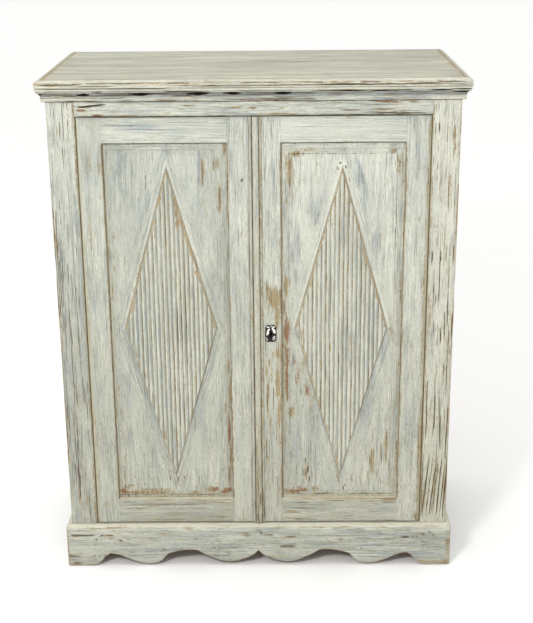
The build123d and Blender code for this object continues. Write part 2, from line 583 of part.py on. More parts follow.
    # brass sockets in the ends of the hinge stile
    with BuildPart() as sockets:
        rod(s * PIVOT_X, PIVOT_Y, DOOR_Z0, SOCKET_R, SOCKET_L, (0, 0, 1))
        rod(s * PIVOT_X, PIVOT_Y, DOOR_Z1, SOCKET_R, SOCKET_L, (0, 0, -1))
        rod(s * PIVOT_X, PIVOT_Y, DOOR_Z0 - 1, PIVOT_R + RUN, SOCKET_L - 0.5, (0, 0, 1), Mode.SUBTRACT)
        rod(s * PIVOT_X, PIVOT_Y, DOOR_Z1 + 1, PIVOT_R + RUN, SOCKET_L - 0.5, (0, 0, -1), Mode.SUBTRACT)
    save(sockets, f"{side}_door_pivot_sockets")

# bead on the meeting edge of the left door
with BuildPart() as left_bead:
    with BuildSketch(Plane.XY.offset(DOOR_Z0)):
        with BuildLine():
            a, b = MEET_L - BEAD_W, MEET_L
            ThreePointArc((a, DOOR_Y0), ((a + b) / 2, DOOR_Y0 - BEAD_P), (b, DOOR_Y0))
            Line((b, DOOR_Y0), (a, DOOR_Y0))
        make_face()
    extrude(amount=DOOR_Z1 - DOOR_Z0)
save(left_bead, "left_door_bead")

# rounded astragal with a bead beside it, on the meeting edge of the right door
with BuildPart() as astragal:
    with BuildSketch(Plane.XY.offset(DOOR_Z0)):
        with BuildLine():
            a, b = ASTRAGAL_X
            c = b + BEAD_W
            Line((a, DOOR_Y0), (a, DOOR_Y0 - 2.0))
            Spline((a, DOOR_Y0 - 2.0), (a + 1.6, DOOR_Y0 - 6.2), ((a + b) / 2, DOOR_Y0 - ASTRAGAL_P),
                   (b - 1.6, DOOR_Y0 - 6.2), (b, DOOR_Y0 - 2.0))
            Line((b, DOOR_Y0 - 2.0), (b, DOOR_Y0 - 0.6))
            ThreePointArc((b, DOOR_Y0 - 0.6), ((b + c) / 2, DOOR_Y0 - BEAD_P), (c, DOOR_Y0 - 0.6))
            Polyline((c, DOOR_Y0 - 0.6), (c, DOOR_Y0), (a, DOOR_Y0))
        make_face()
    extrude(amount=DOOR_Z1 - DOOR_Z0)
save(astragal, "right_door_astragal")

# ---------------------------------------------------------------- lock
with BuildPart() as escutcheon:
    with BuildSketch(Plane.XZ.offset(-DOOR_Y0)):
        with Locations((KEY_X, KEY_Z)):
            RectangleRounded(ESC_W, ESC_H, 3.0)
        with Locations((KEY_X, KEY_Z)):
            Circle(3.6, mode=Mode.SUBTRACT)
        with Locations((KEY_X, KEY_Z - 5.5)):
            Rectangle(3.2, 11.0, mode=Mode.SUBTRACT)
        with Locations((KEY_X - 11, KEY_Z - 18.5), (KEY_X + 11, KEY_Z - 18.5),
                       (KEY_X - 11, KEY_Z + 18.5), (KEY_X + 11, KEY_Z + 18.5)):
            Circle(0.6 + FIT, mode=Mode.SUBTRACT)
    extrude(amount=ESC_T)
save(escutcheon, "escutcheon")

with BuildPart() as escutcheon_pins:
    for dx, dz in ((-11, -18.5), (11, -18.5), (-11, 18.5), (11, 18.5)):
        rod(KEY_X + dx, DOOR_Y0 - ESC_T, KEY_Z + dz, 0.6, 9.0, (0, 1, 0))
        taper(KEY_X + dx, DOOR_Y0 - ESC_T - 0.5, KEY_Z + dz, 0.7, 1.3, 0.5, (0, 1, 0))
save(escutcheon_pins, "escutcheon_pins")

LOCK_YM = (LOCK_Y0 + DOOR_Y1) / 2
with BuildPart() as lock_case:
    block(MEET_R, LOCK_X1, LOCK_Y0, DOOR_Y1, LOCK_Z0, LOCK_Z1)
    block(MEET_R, MEET_R + PLATE, LOCK_Y0 - 2, DOOR_Y1, LOCK_Z0 - 8, LOCK_Z1 + 8)
    block(MEET_R + PLATE, LOCK_X1 - PLATE, LOCK_Y0 + PLATE, DOOR_Y1 - PLATE, LOCK_Z0 + PLATE, LOCK_Z1 - PLATE,
          Mode.SUBTRACT)
    # slot for the bolt
    block(MEET_R - 1, MEET_R + PLATE + 1, BOLT_Y0 - 0.3, BOLT_Y1 + 0.3, BOLT_Z0 - 0.3, BOLT_Z1 + 0.3, Mode.SUBTRACT)
    # keyhole in the front plate
    rod(KEY_X, LOCK_Y0 - 1, KEY_Z, 3.6, PLATE + 1.5, (0, 1, 0), Mode.SUBTRACT)
    block(KEY_X - 1.6, KEY_X + 1.6, LOCK_Y0 - 1, LOCK_Y0 + PLATE + 0.5, KEY_Z - 11, KEY_Z, Mode.SUBTRACT)
    # guide stump of the bolt
    rod(14.0, LOCK_Y0 + PLATE / 2, 619.0, 2.0, DOOR_Y1 - LOCK_Y0 - PLATE, (0, 1, 0))
    for z in (LOCK_Z0 - 5, LOCK_Z1 + 5):
        rod(MEET_R - 1, LOCK_YM, z, 1.2 + FIT, PLATE + 2, (1, 0, 0), Mode.SUBTRACT)
save(lock_case, "lock_case")

with BuildPart() as lock_bolt:
    block(MEET_R + 0.5, 33.0, BOLT_Y0, BOLT_Y1, BOLT_Z0, BOLT_Z1)
    edges = lock_bolt.edges().filter_by(Axis.Y).group_by(Axis.X)[0]
    fillet(edges, radius=1.5)
    # slot that runs on the guide stump, and the notch that the key turns in
    block(14.0, 24.0, BOLT_Y0 - 1, BOLT_Y1 + 1, 619.0 - 2.3, 619.0 + 2.3, Mode.SUBTRACT)
    rod(14.0, BOLT_Y0 - 1, 619.0, 2.3, 7.0, (0, 1, 0), Mode.SUBTRACT)
    rod(24.0, BOLT_Y0 - 1, 619.0, 2.3, 7.0, (0, 1, 0), Mode.SUBTRACT)
    block(28.0, 33.5, BOLT_Y0 - 1, BOLT_Y1 + 1, BOLT_Z0 - 1, BOLT_Z0 + 4.0, Mode.SUBTRACT)
save(lock_bolt, "lock_bolt")

with BuildPart() as lock_spring:
    # leaf spring over the bolt: anchored at the rear of the case, its free end lies above the bolt
    with BuildSketch(Plane.XZ.offset(-BOLT_Y1)):
        with BuildLine():
            Polyline((42.4, 632.6), (20.0, 632.6), (6.0, 627.4), (5.6, 628.0), (19.8, 633.4), (42.4, 633.4),
                     close=True)
        make_face()
    extrude(amount=4.0)
save(lock_spring, "lock_spring")

with BuildPart() as lock_screws:
    for z in (LOCK_Z0 - 5, LOCK_Z1 + 5):
        rod(MEET_R + 0.1, LOCK_YM, z, 1.2, 15.0, (1, 0, 0))
save(lock_screws, "lock_screws")

with BuildPart() as strike_plate:
    block(MEET_L - 1.5, MEET_L, -224.5, -214.5, 592, 646)
    block(MEET_L - 3, MEET_L + 1, BOLT_Y0 - 0.8, BOLT_Y1 + 0.8, BOLT_Z0 - 1, BOLT_Z1 + 1, Mode.SUBTRACT)
    for z in (599, 639):
        rod(MEET_L + 1, -219.5, z, 1.2 + FIT, 4.0, (-1, 0, 0), Mode.SUBTRACT)
save(strike_plate, "strike_plate")

# ---------------------------------------------------------------- slide bolts inside the left door
PLATE_Y1 = DOOR_Y1 + 2.0
guides = (("upper_bolt_guide", 995.0, 1085.0, (1005.0, 1075.0), (999.0, 1022.0, 1058.0, 1081.0)),
          ("lower_bolt_guide", 141.0, 231.0, (151.0, 221.0), (145.0, 168.0, 204.0, 227.0)))
for name, z0, z1, loops, holes in guides:
    with BuildPart() as guide:
        block(SB_X - 9, SB_X + 14, DOOR_Y1, PLATE_Y1, z0, z1)
        for zc in loops:
            block(SB_X - 7, SB_X + 7, PLATE_Y1, SB_Y + SB_R + 2.0, zc - 5, zc + 5)
        arrises = guide.edges().filter_by(Axis.Z).group_by(Axis.Y)[-1]
        fillet(arrises, radius=4.0)
        rod(SB_X, SB_Y, z0 - 1, SB_R + 0.08, z1 - z0 + 2, (0, 0, 1), Mode.SUBTRACT)
        for z in holes:
            rod(SB_X + 10.5, DOOR_Y1 - 1, z, 1.2 + FIT, 4.0, (0, 1, 0), Mode.SUBTRACT)
    save(guide, name)

for name, z0, knob_z in (("upper_bolt_rod", SB_UP_END - SB_LEN, 1034.0), ("lower_bolt_rod", SB_LOW_END, 192.0)):
    with BuildPart() as bolt_rod:
        rod(SB_X, SB_Y, z0, SB_R, SB_LEN, (0, 0, 1))
        ends = bolt_rod.edges().group_by(Axis.Z)
        chamfer([ends[0][0], ends[-1][-1]], length=0.8)
        rod(SB_X, SB_Y, knob_z, 2.5, 10.0, (0, 1, 0))
        with Locations((SB_X, SB_Y + 13.0, knob_z)):
            Sphere(4.5)
    save(bolt_rod, name)

with BuildPart() as left_door_screws:
    for _, _, _, _, holes in guides:
        for z in holes:
            rod(SB_X + 10.5, PLATE_Y1 + 0.0, z, 1.2, 13.0, (0, -1, 0))
            taper(SB_X + 10.5, PLATE_Y1 + 1.2, z, 1.6, 2.4, 1.2, (0, -1, 0))
    for z in (599, 639):
        rod(MEET_L - 0.1, -219.5, z, 1.2, 13.0, (-1, 0, 0))
save(left_door_screws, "left_door_screws")
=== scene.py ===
import bpy, bmesh, functools, math
import numpy as np
from mathutils import Vector, Matrix


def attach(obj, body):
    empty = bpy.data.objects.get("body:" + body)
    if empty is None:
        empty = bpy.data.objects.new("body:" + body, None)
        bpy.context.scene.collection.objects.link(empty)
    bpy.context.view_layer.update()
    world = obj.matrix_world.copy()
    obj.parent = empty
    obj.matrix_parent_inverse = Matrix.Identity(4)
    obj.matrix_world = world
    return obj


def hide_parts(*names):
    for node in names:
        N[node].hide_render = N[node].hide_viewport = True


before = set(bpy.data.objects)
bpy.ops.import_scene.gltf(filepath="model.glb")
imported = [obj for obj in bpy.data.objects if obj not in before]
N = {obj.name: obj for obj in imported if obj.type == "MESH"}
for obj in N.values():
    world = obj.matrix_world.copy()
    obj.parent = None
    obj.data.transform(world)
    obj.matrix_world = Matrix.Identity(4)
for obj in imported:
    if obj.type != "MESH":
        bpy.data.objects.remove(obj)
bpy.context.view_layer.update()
scene = bpy.context.scene
MM = 0.001

# ------------------------------------------------------------------ sizes, in millimetres, as in the CAD frame
FRONT, BACK, BODY_X, OPEN_X, TOP_Z, HEIGHT = -238.0, 258.0, 460.0, 397.5, 1183.0, 1200.0
IN_Y = -213.0
DOOR_Y0, DOOR_Y1, DOOR_Z0, DOOR_Z1 = -235.5, -213.5, 114.0, 1115.5
OPEN_IN, OPEN_OUT, OPEN_Z0, OPEN_Z1 = 60.0, 340.0, 178.0, 1056.5
LOZ_X, LOZ_Z, LOZ_HW, LOZ_HH, REEDS = 199.0, 619.0, 107.1, 380.0, 21
FIELD_Y, MARGIN_Y = -228.5, -225.0
PIVOT_X, PIVOT_Y, EDGE_R = 385.5, -224.5, 11.0


# ------------------------------------------------------------------ seeded noise on arrays
def hash01(a, b, seed):
    n = (a * 374761393 + b * 668265263 + seed * 974634777) & 0xFFFFFFFF
    n = ((n ^ (n >> 13)) * 1274126177) & 0xFFFFFFFF
    n = n ^ (n >> 16)
    return (n & 0xFFFF) / 65535.0


def vn(x, y, seed=0):
    x, y = np.broadcast_arrays(np.asarray(x, float), np.asarray(y, float))
    xi, yi = np.floor(x).astype(np.int64), np.floor(y).astype(np.int64)
    fx, fy = x - xi, y - yi
    fx, fy = fx * fx * (3 - 2 * fx), fy * fy * (3 - 2 * fy)
    a, b = hash01(xi, yi, seed), hash01(xi + 1, yi, seed)
    c, d = hash01(xi, yi + 1, seed), hash01(xi + 1, yi + 1, seed)
    return (a * (1 - fx) + b * fx) * (1 - fy) + (c * (1 - fx) + d * fx) * fy


def fb(x, y, seed=0, octaves=3):
    total, amp, norm = 0.0, 1.0, 0.0
    x, y = np.asarray(x, float), np.asarray(y, float)
    for k in range(octaves):
        total = total + amp * vn(x * 2 ** k, y * 2 ** k, seed + 17 * k)
        norm += amp
        amp *= 0.5
    return total / norm


def ss(a, b, x):
    t = np.clip((x - a) / (b - a), 0, 1)
    return t * t * (3 - 2 * t)


def spots(x, z, entries):
    """Soft blots (x, z, half width, half height, strength), the strongest one wins."""
    out = np.zeros(np.broadcast(x, z).shape)
    for cx, cz, hw, hh, s in entries:
        q = (np.abs(x - cx) / hw) ** 2.4 + (np.abs(z - cz) / hh) ** 2.4
        out = np.maximum(out, s * np.exp(-q))
    return out


# ------------------------------------------------------------------ node helpers
def new_mat(name):
    m = bpy.data.materials.new(name)
    m.use_nodes = True
    m.node_tree.nodes.clear()
    return m


class Nt:
    def __init__(self, mat):
        self.t = mat.node_tree
        self.n = self.t.nodes
        self.l = self.t.links

    def add(self, kind, **kw):
        nd = self.n.new(kind)
        for k, v in kw.items():
            setattr(nd, k, v)
        return nd

    def put(self, sock, v):
        if isinstance(v, bpy.types.NodeSocket):
            self.l.new(v, sock)
        elif v is not None:
            sock.default_value = v

    def math(self, op, a, b=None, c=None, clamp=False):
        nd = self.add("ShaderNodeMath", operation=op, use_clamp=clamp)
        for i, v in enumerate((a, b, c)):
            self.put(nd.inputs[i], v)
        return nd.outputs[0]

    def vmath(self, op, a, b=None):
        nd = self.add("ShaderNodeVectorMath", operation=op)
        self.put(nd.inputs[0], a)
        self.put(nd.inputs[1], b)
        return nd.outputs[0]

    def noise(self, vec, scale, detail=2.0, rough=0.5, distort=0.0):
        nd = self.add("ShaderNodeTexNoise")
        self.put(nd.inputs["Vector"], vec)
        nd.inputs["Scale"].default_value = scale
        nd.inputs["Detail"].default_value = detail
        nd.inputs["Roughness"].default_value = rough
        nd.inputs["Distortion"].default_value = distort
        return nd.outputs["Fac"]

    def ramp(self, x, a, b, lo=0.0, hi=1.0):
        nd = self.add("ShaderNodeMapRange", interpolation_type="SMOOTHSTEP")
        self.put(nd.inputs["Value"], x)
        for k, v in (("From Min", a), ("From Max", b), ("To Min", lo), ("To Max", hi)):
            self.put(nd.inputs[k], v)
        return nd.outputs[0]

    def mix(self, f, a, b, blend="MIX"):
        nd = self.add("ShaderNodeMix", data_type="RGBA", blend_type=blend)
        self.put(nd.inputs[0], f)
        self.put(nd.inputs[6], a)
        self.put(nd.inputs[7], b)
        return nd.outputs[2]

    def attr(self, name, out="Fac"):
        return self.add("ShaderNodeAttribute", attribute_name=name).outputs[out]

    def scale(self, v, s):
        nd = self.add("ShaderNodeVectorMath", operation="MULTIPLY")
        self.put(nd.inputs[0], v)
        nd.inputs[1].default_value = s
        return nd.outputs[0]


def srgb(r, g, b):
    def f(c):
        c /= 255.0
        return c / 12.92 if c <= 0.04045 else ((c + 0.055) / 1.055) ** 2.4
    return (f(r), f(g), f(b), 1.0)


# Colours of the finish, as they look in the stage light; ALBEDO turns them into surface colours.
ALBEDO = 0.70


def tint(r, g, b):
    c = srgb(r, g, b)
    return (c[0] * ALBEDO, c[1] * ALBEDO, c[2] * ALBEDO, 1.0)


PALE = tint(241, 243, 229)
FILM = tint(159, 166, 157)
BLUE = tint(166, 177, 182)
TAN = tint(188, 172, 134)
BROWN = tint(132, 110, 78)
UMBER = tint(88, 72, 52)
SOOT_AND_SHADOW_BLACK = tint(34, 31, 27)


def wood_colour(t, p):
    """Bare pine under the paint: fine grain along the third axis of p."""
    g1 = t.noise(t.scale(p, (190, 190, 7)), 1.0, 4.0, 0.62, 0.4)
    g2 = t.noise(t.scale(p, (800, 800, 22)), 1.0, 2.0, 0.5)
    f = t.math("ADD", t.math("MULTIPLY", g1, 0.6), t.math("MULTIPLY", g2, 0.4))
    red = t.math("MULTIPLY_ADD", t.noise(t.scale(p, (15, 15, 5)), 1.0, 2.0), 0.6, t.math("MULTIPLY_ADD", t.attr("red"), 0.14, 0.19))
    wood = t.mix(t.ramp(f, 0.38, 0.62), TAN, BROWN)
    return t.mix(t.ramp(red, 0.54, 0.64, 0.0, 0.86), wood, tint(146, 102, 74)), g2


def paint_material(name, rough=0.62, diagonal=False):
    """Thin brushed paint over pine, rubbed through. Reads pc (across, depth, along), wear, the dirt-and-shade attribute
    (real dirt plus painted shade), tone (paint cover, which also carries painted light and shade) and cool.
    """
    m = new_mat(name)
    t = Nt(m)
    p = t.attr("pc", "Vector")
    wear, dirt_and_shade, tone, cool_in = t.attr("wear"), t.attr("dirt_and_shade"), t.attr("tone"), t.attr("cool")
    warm, fresh, grime = t.attr("warm"), t.attr("fresh"), t.attr("grime")

    def centred(vec, sc, gain, detail=3.0, r=0.55, dist=0.0):
        n = t.noise(t.scale(vec, sc), 1.0, detail, r, dist)
        return t.math("MULTIPLY", t.math("SUBTRACT", n, 0.5), gain)

    S_WIDE, S_STREAK, S_FINE = (80, 80, 3.4), (270, 270, 6.5), (520, 520, 21)
    patch = centred(p, (24, 24, 7.5), 3.0, 4.0, 0.6, 0.5)
    wide = centred(p, S_WIDE, 3.4, 3.0, 0.6, 0.2)
    streak = centred(p, S_STREAK, 4.2, 3.0, 0.62, 0.12)
    fine = centred(p, S_FINE, 4.6, 3.0, 0.65, 0.1)
    if diagonal:
        pd, w = t.attr("pd", "Vector"), t.attr("dw")
        inv = t.math("SUBTRACT", 1.0, w)

        def turned(v, sc, gain, r):
            return t.math("ADD", t.math("MULTIPLY", v, inv), t.math("MULTIPLY", centred(pd, sc, gain, 3.0, r, 0.12), w))

        streak, wide, fine = turned(streak, S_STREAK, 4.2, 0.62), turned(wide, S_WIDE, 3.4, 0.6), turned(fine, S_FINE, 4.6, 0.65)
    speck = centred(p, (380, 380, 230), 4.0, 3.0, 0.68)
    hairn = t.noise(t.scale(p, (290, 290, 8)), 1.0, 3.0, 0.65, 0.15)
    crackn = t.noise(t.scale(p, (330, 330, 10)), 1.0, 2.0, 0.6, 0.1)
    # some areas are brushed out smooth, others left streaky
    busyn = t.noise(t.scale(p, (15, 15, 5.5)), 1.0, 2.0, 0.5, 0.4)
    busy = t.ramp(busyn, 0.36, 0.64, 0.50, 1.40)
    # how much of the pale top coat is left; the tone attribute, which raises or lowers it, also carries painted light
    # and shade
    f = t.math("MULTIPLY", streak, 0.26)
    f = t.math("MULTIPLY_ADD", wide, 0.12, f)
    f = t.math("MULTIPLY_ADD", fine, 0.42, f)
    f = t.math("MULTIPLY_ADD", f, busy, 0.50)
    f = t.math("MULTIPLY_ADD", speck, 0.20, f)
    f = t.math("MULTIPLY_ADD", patch, 0.25, f)
    f = t.math("MULTIPLY_ADD", tone, 0.40, f)
    col = t.mix(t.math("MAXIMUM", t.math("MINIMUM", f, 1.0), 0.0), FILM, PALE)
    # grey-blue undercoat
    c = t.math("MULTIPLY_ADD", patch, -0.62, t.math("MULTIPLY", cool_in, 0.8))
    c = t.math("MULTIPLY_ADD", wide, -0.34, c)
    c = t.math("MULTIPLY_ADD", streak, -0.34, c)
    c = t.math("MULTIPLY_ADD", fine, -0.22, c)
    col = t.mix(t.ramp(c, 0.0, 0.85, 0.0, 0.62), col, BLUE)
    # darker broken strokes where the undercoat was dragged
    dk = t.math("MULTIPLY_ADD", streak, -0.50, t.math("MULTIPLY", fine, -0.35))
    dk = t.math("MULTIPLY_ADD", cool_in, 0.50, dk)
    dk = t.math("MULTIPLY_ADD", wide, -0.30, dk)
    dk = t.math("MULTIPLY_ADD", busyn, 0.9, t.math("SUBTRACT", dk, 0.45))
    col = t.mix(t.ramp(dk, 0.40, 0.95, 0.0, 0.62), col, tint(126, 132, 126))
    # brownish hairlines along the grain
    hair = t.math("MULTIPLY", t.ramp(hairn, 0.385, 0.31), t.ramp(t.math("MULTIPLY_ADD", fine, 0.6, patch), 0.25, -0.45, 0.15, 1.0))
    col = t.mix(t.math("MULTIPLY", hair, 0.60), col, tint(140, 124, 96))
    # dark broken hairlines in clusters, where the brush skipped the grain
    cluster = t.ramp(t.math("MULTIPLY_ADD", cool_in, 0.5, t.math("MULTIPLY_ADD", wide, -0.35, t.math("MULTIPLY", patch, -0.8))), 0.02, 0.62)
    crack = t.math("MULTIPLY", t.ramp(t.math("MULTIPLY_ADD", speck, 0.05, crackn), 0.42, 0.35), cluster)
    col = t.mix(t.math("MULTIPLY", crack, 0.72), col, tint(116, 116, 100))
    # fine dark flecks where the surface is handled and dirty
    fleckn = t.noise(t.scale(p, (620, 620, 75)), 1.0, 2.0, 0.62, 0.1)
    fleck = t.ramp(t.math("MULTIPLY_ADD", patch, -0.035, t.math("MULTIPLY_ADD", streak, -0.03, fleckn)), 0.575, 0.68)
    col = t.mix(t.math("MULTIPLY", t.math("MULTIPLY", fleck, grime), 0.78, clamp=True), col, tint(118, 112, 92))
    # yellowed coat; warm is also raised as painted light in the door gaps, beside the stiles and on the reeds' left
    # flanks
    col = t.mix(t.math("MULTIPLY", warm, 0.55), col, tint(226, 216, 182))
    # bare wood
    wood, g2 = wood_colour(t, p)
    wood = t.mix(t.math("MULTIPLY", fresh, t.ramp(g2, 0.3, 0.6, 0.9, 0.5)), wood, tint(200, 178, 138))
    flaken = centred(p, (360, 360, 48), 5.0, 3.0, 0.72, 0.35)
    edge = t.math("MULTIPLY_ADD", streak, 0.32, t.math("MULTIPLY", fine, 0.36))
    edge = t.math("MULTIPLY_ADD", speck, 0.24, edge)
    edge = t.math("MULTIPLY_ADD", flaken, 0.36, edge)
    edge = t.math("MULTIPLY_ADD", wide, 0.18, edge)
    ws = t.math("MULTIPLY_ADD", edge, 1.22, wear)
    bare = t.ramp(ws, 0.58, 0.78)
    halo = t.ramp(ws, 0.30, 0.62)
    col = t.mix(t.math("MULTIPLY", halo, 0.62), col, tint(190, 179, 148))
    col = t.mix(t.math("MULTIPLY", bare, 0.92), col, wood)
    # dirt and painted shade in the quirks and recesses; near black where that channel is strongest, on real soot marks
    # and on painted shadow lines and hollows
    dn = t.math("MULTIPLY_ADD", streak, 0.26, dirt_and_shade)
    dn = t.math("MULTIPLY_ADD", fine, 0.22, dn)
    col = t.mix(t.ramp(dn, 0.22, 0.80, 0.0, 0.88), col, UMBER)
    soot_and_shadow = t.ramp(dn, 0.90, 1.25)
    col = t.mix(soot_and_shadow, col, SOOT_AND_SHADOW_BLACK)
    b = t.add("ShaderNodeBsdfPrincipled")
    t.put(b.inputs["Base Color"], col)
    t.put(b.inputs["Roughness"], t.math("MULTIPLY_ADD", bare, 0.16, t.ramp(fine, -0.4, 0.4, rough - 0.08, rough + 0.08)))
    t.put(b.inputs["Specular IOR Level"], t.math("MULTIPLY_ADD", soot_and_shadow, -0.29, 0.30))
    # relief of brush marks, grain and the step at the paint's edge
    h = t.math("MULTIPLY_ADD", fine, 0.26, t.math("MULTIPLY", streak, 0.42))
    h = t.math("MULTIPLY_ADD", bare, -0.20, h)
    h = t.math("MULTIPLY_ADD", hair, -0.30, h)
    h = t.math("MULTIPLY_ADD", speck, 0.06, h)
    bump = t.add("ShaderNodeBump")
    bump.inputs["Strength"].default_value = 0.8
    bump.inputs["Distance"].default_value = 0.0012
    t.put(bump.inputs["Height"], h)
    t.put(b.inputs["Normal"], bump.outputs[0])
    o = t.add("ShaderNodeOutputMaterial")
    t.put(o.inputs[0], b.outputs[0])
    return m


def pine_material(name, axis="z", use_pc=False, light=tint(208, 172, 126), dark=tint(168, 124, 80), boards=None):
    """Unpainted aged pine. axis is the grain direction in the object's own coordinates; boards is the
    left edge and the width of boards laid side by side along x, each with its own grain."""
    m = new_mat(name)
    t = Nt(m)
    if use_pc:
        p = t.attr("pc", "Vector")
    else:
        tc = t.add("ShaderNodeTexCoord").outputs["Object"]
        sp = t.add("ShaderNodeSeparateXYZ")
        t.put(sp.inputs[0], tc)
        x, y, z = sp.outputs
        order = {"z": (x, y, z), "x": (y, z, x), "y": (z, x, y)}[axis]
        cb = t.add("ShaderNodeCombineXYZ")
        for i in range(3):
            t.put(cb.inputs[i], order[i])
        p = cb.outputs[0]
    if boards:
        u = t.math("DIVIDE", t.math("SUBTRACT", x, boards[0]), boards[1])
        which, part_ = t.math("FLOOR", u), t.math("FRACT", u)
        shift = t.add("ShaderNodeCombineXYZ")
        for i, k in enumerate((0.371, 0.113, 0.537)):
            t.put(shift.inputs[i], t.math("MULTIPLY", which, k))
        p = t.vmath("ADD", p, shift.outputs[0])
        edge = t.math("MULTIPLY", t.math("MINIMUM", part_, t.math("SUBTRACT", 1.0, part_)), boards[1])
        shade = t.math("FRACT", t.math("MULTIPLY_ADD", which, 0.618, 0.2))
    wob = t.noise(t.scale(p, (9, 9, 2.2)), 1.0, 2.0, 0.5)
    rings = t.noise(t.scale(p, (48, 48, 1.6)), 1.0, 3.0, 0.55, 1.2)
    fine = t.noise(t.scale(p, (420, 420, 7)), 1.0, 3.0, 0.6, 0.2)
    pores = t.noise(t.scale(p, (1500, 1500, 40)), 1.0, 2.0, 0.5)
    bands = t.math("FRACT", t.math("MULTIPLY", rings, 9.0))
    bands = t.ramp(bands, 0.15, 0.95)
    f = t.math("ADD", t.math("MULTIPLY", bands, 0.45), t.math("MULTIPLY", fine, 0.55))
    col = t.mix(t.ramp(f, 0.25, 0.80), light, dark)
    col = t.mix(t.ramp(wob, 0.40, 0.66, 0.0, 0.35), col, tint(146, 106, 68))
    # knots: sparse dark cores with a ring
    vo = t.add("ShaderNodeTexVoronoi", feature="F1")
    t.put(vo.inputs["Vector"], t.scale(p, (7.0, 7.0, 2.6)))
    vo.inputs["Scale"].default_value = 1.0
    knot = t.ramp(vo.outputs["Distance"], 0.11, 0.06)
    col = t.mix(t.math("MULTIPLY", knot, 0.75), col, tint(98, 64, 38))
    col = t.mix(t.ramp(pores, 0.30, 0.22, 0.0, 0.35), col, tint(116, 82, 52))
    grime = t.noise(t.scale(p, (5, 5, 4)), 1.0, 4.0, 0.6)
    col = t.mix(t.ramp(grime, 0.50, 0.75, 0.0, 0.30), col, tint(122, 100, 76))
    if boards:
        col = t.mix(t.math("MULTIPLY", shade, 0.34), col, tint(128, 104, 78))
        col = t.mix(t.ramp(edge, 0.012, 0.001, 0.0, 0.30), col, tint(110, 86, 60))
        col = t.mix(t.ramp(edge, 0.0022, 0.0008, 0.0, 0.92), col, tint(44, 34, 25))
    b = t.add("ShaderNodeBsdfPrincipled")
    t.put(b.inputs["Base Color"], col)
    t.put(b.inputs["Roughness"], t.ramp(fine, 0.3, 0.7, 0.62, 0.82))
    b.inputs["Specular IOR Level"].default_value = 0.3
    bump = t.add("ShaderNodeBump")
    bump.inputs["Strength"].default_value = 0.45
    bump.inputs["Distance"].default_value = 0.0008
    h = t.math("ADD", t.math("MULTIPLY", fine, 0.7), t.math("MULTIPLY", pores, 0.3))
    t.put(bump.inputs["Height"], h)
    t.put(b.inputs["Normal"], bump.outputs[0])
    o = t.add("ShaderNodeOutputMaterial")
    t.put(o.inputs[0], b.outputs[0])
    return m


def metal_material(name, base, spot, rough=(0.25, 0.5), metallic=1.0, scale=260.0, amount=0.5, bumpd=0.0003):
    m = new_mat(name)
    t = Nt(m)
    tc = t.add("ShaderNodeTexCoord").outputs["Object"]
    a = t.noise(tc, scale, 4.0, 0.6)
    c = t.noise(tc, scale * 4.5, 2.0, 0.5)
    f = t.ramp(t.math("ADD", t.math("MULTIPLY", a, 0.7), t.math("MULTIPLY", c, 0.3)), 0.42, 0.62)
    col = t.mix(t.math("MULTIPLY", f, amount), base, spot)
    b = t.add("ShaderNodeBsdfPrincipled")
    t.put(b.inputs["Base Color"], col)
    b.inputs["Metallic"].default_value = metallic
    t.put(b.inputs["Roughness"], t.ramp(a, 0.3, 0.7, rough[0], rough[1]))
    bump = t.add("ShaderNodeBump")
    bump.inputs["Strength"].default_value = 0.4
    bump.inputs["Distance"].default_value = bumpd
    t.put(bump.inputs["Height"], c)
    t.put(b.inputs["Normal"], bump.outputs[0])
    o = t.add("ShaderNodeOutputMaterial")
    t.put(o.inputs[0], b.outputs[0])
    return m


PAINT = paint_material("brushed_paint")
PAINT_PANEL = paint_material("brushed_paint_panel", diagonal=True)
PINE = pine_material("aged_pine_pc", use_pc=True)
PINE_X = pine_material("aged_pine_x", "x")
PINE_Y = pine_material("aged_pine_y", "y")
PINE_Z = pine_material("aged_pine_z", "z")
PINE_BACK = pine_material("back_pine_z", "z", light=tint(190, 158, 118), dark=tint(148, 112, 76), boards=(-0.448, 0.224))
IRON = metal_material("dark_iron", srgb(52, 48, 44), srgb(96, 66, 44), (0.45, 0.7), 0.8)
STEEL = metal_material("bright_steel", srgb(205, 203, 196), srgb(120, 112, 100), (0.22, 0.42), 1.0)
BRASS = metal_material("dull_brass", srgb(186, 150, 84), srgb(120, 92, 52), (0.28, 0.48), 1.0)
BLACKED = metal_material("blacked_plate", srgb(16, 15, 14), srgb(44, 34, 26), (0.5, 0.75), 0.3)
SILVER = metal_material("rubbed_scroll", srgb(248, 247, 242), srgb(200, 196, 186), (0.3, 0.5), 0.75, 500.0, 0.25)


# ------------------------------------------------------------------ mesh helpers
def build(name, P, F, body, stands, at, mats, fmat=None, sharp=38.0):
    me = bpy.data.meshes.new(name)
    me.from_pydata((np.asarray(P) * MM).tolist(), [], [list(map(int, f)) for f in F])
    for k, v in at.items():
        v = np.asarray(v, np.float32)
        if v.ndim == 1:
            a = me.attributes.new(k, "FLOAT", "POINT")
            a.data.foreach_set("value", v)
        else:
            a = me.attributes.new(k, "FLOAT_VECTOR", "POINT")
            a.data.foreach_set("vector", v.ravel())
    for mt in mats:
        me.materials.append(mt)
    if fmat is not None:
        me.polygons.foreach_set("material_index", np.asarray(fmat, np.int32))
    me.polygons.foreach_set("use_smooth", np.ones(len(me.polygons), bool))
    bm = bmesh.new()
    bm.from_mesh(me)
    bmesh.ops.recalc_face_normals(bm, faces=bm.faces)
    bm.to_mesh(me)
    bm.free()
    me.set_sharp_from_angle(angle=math.radians(sharp))
    me.update()
    ob = bpy.data.objects.new(name, me)
    scene.collection.objects.link(ob)
    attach(ob, body)
    if stands:
        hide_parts(*stands)
    return ob


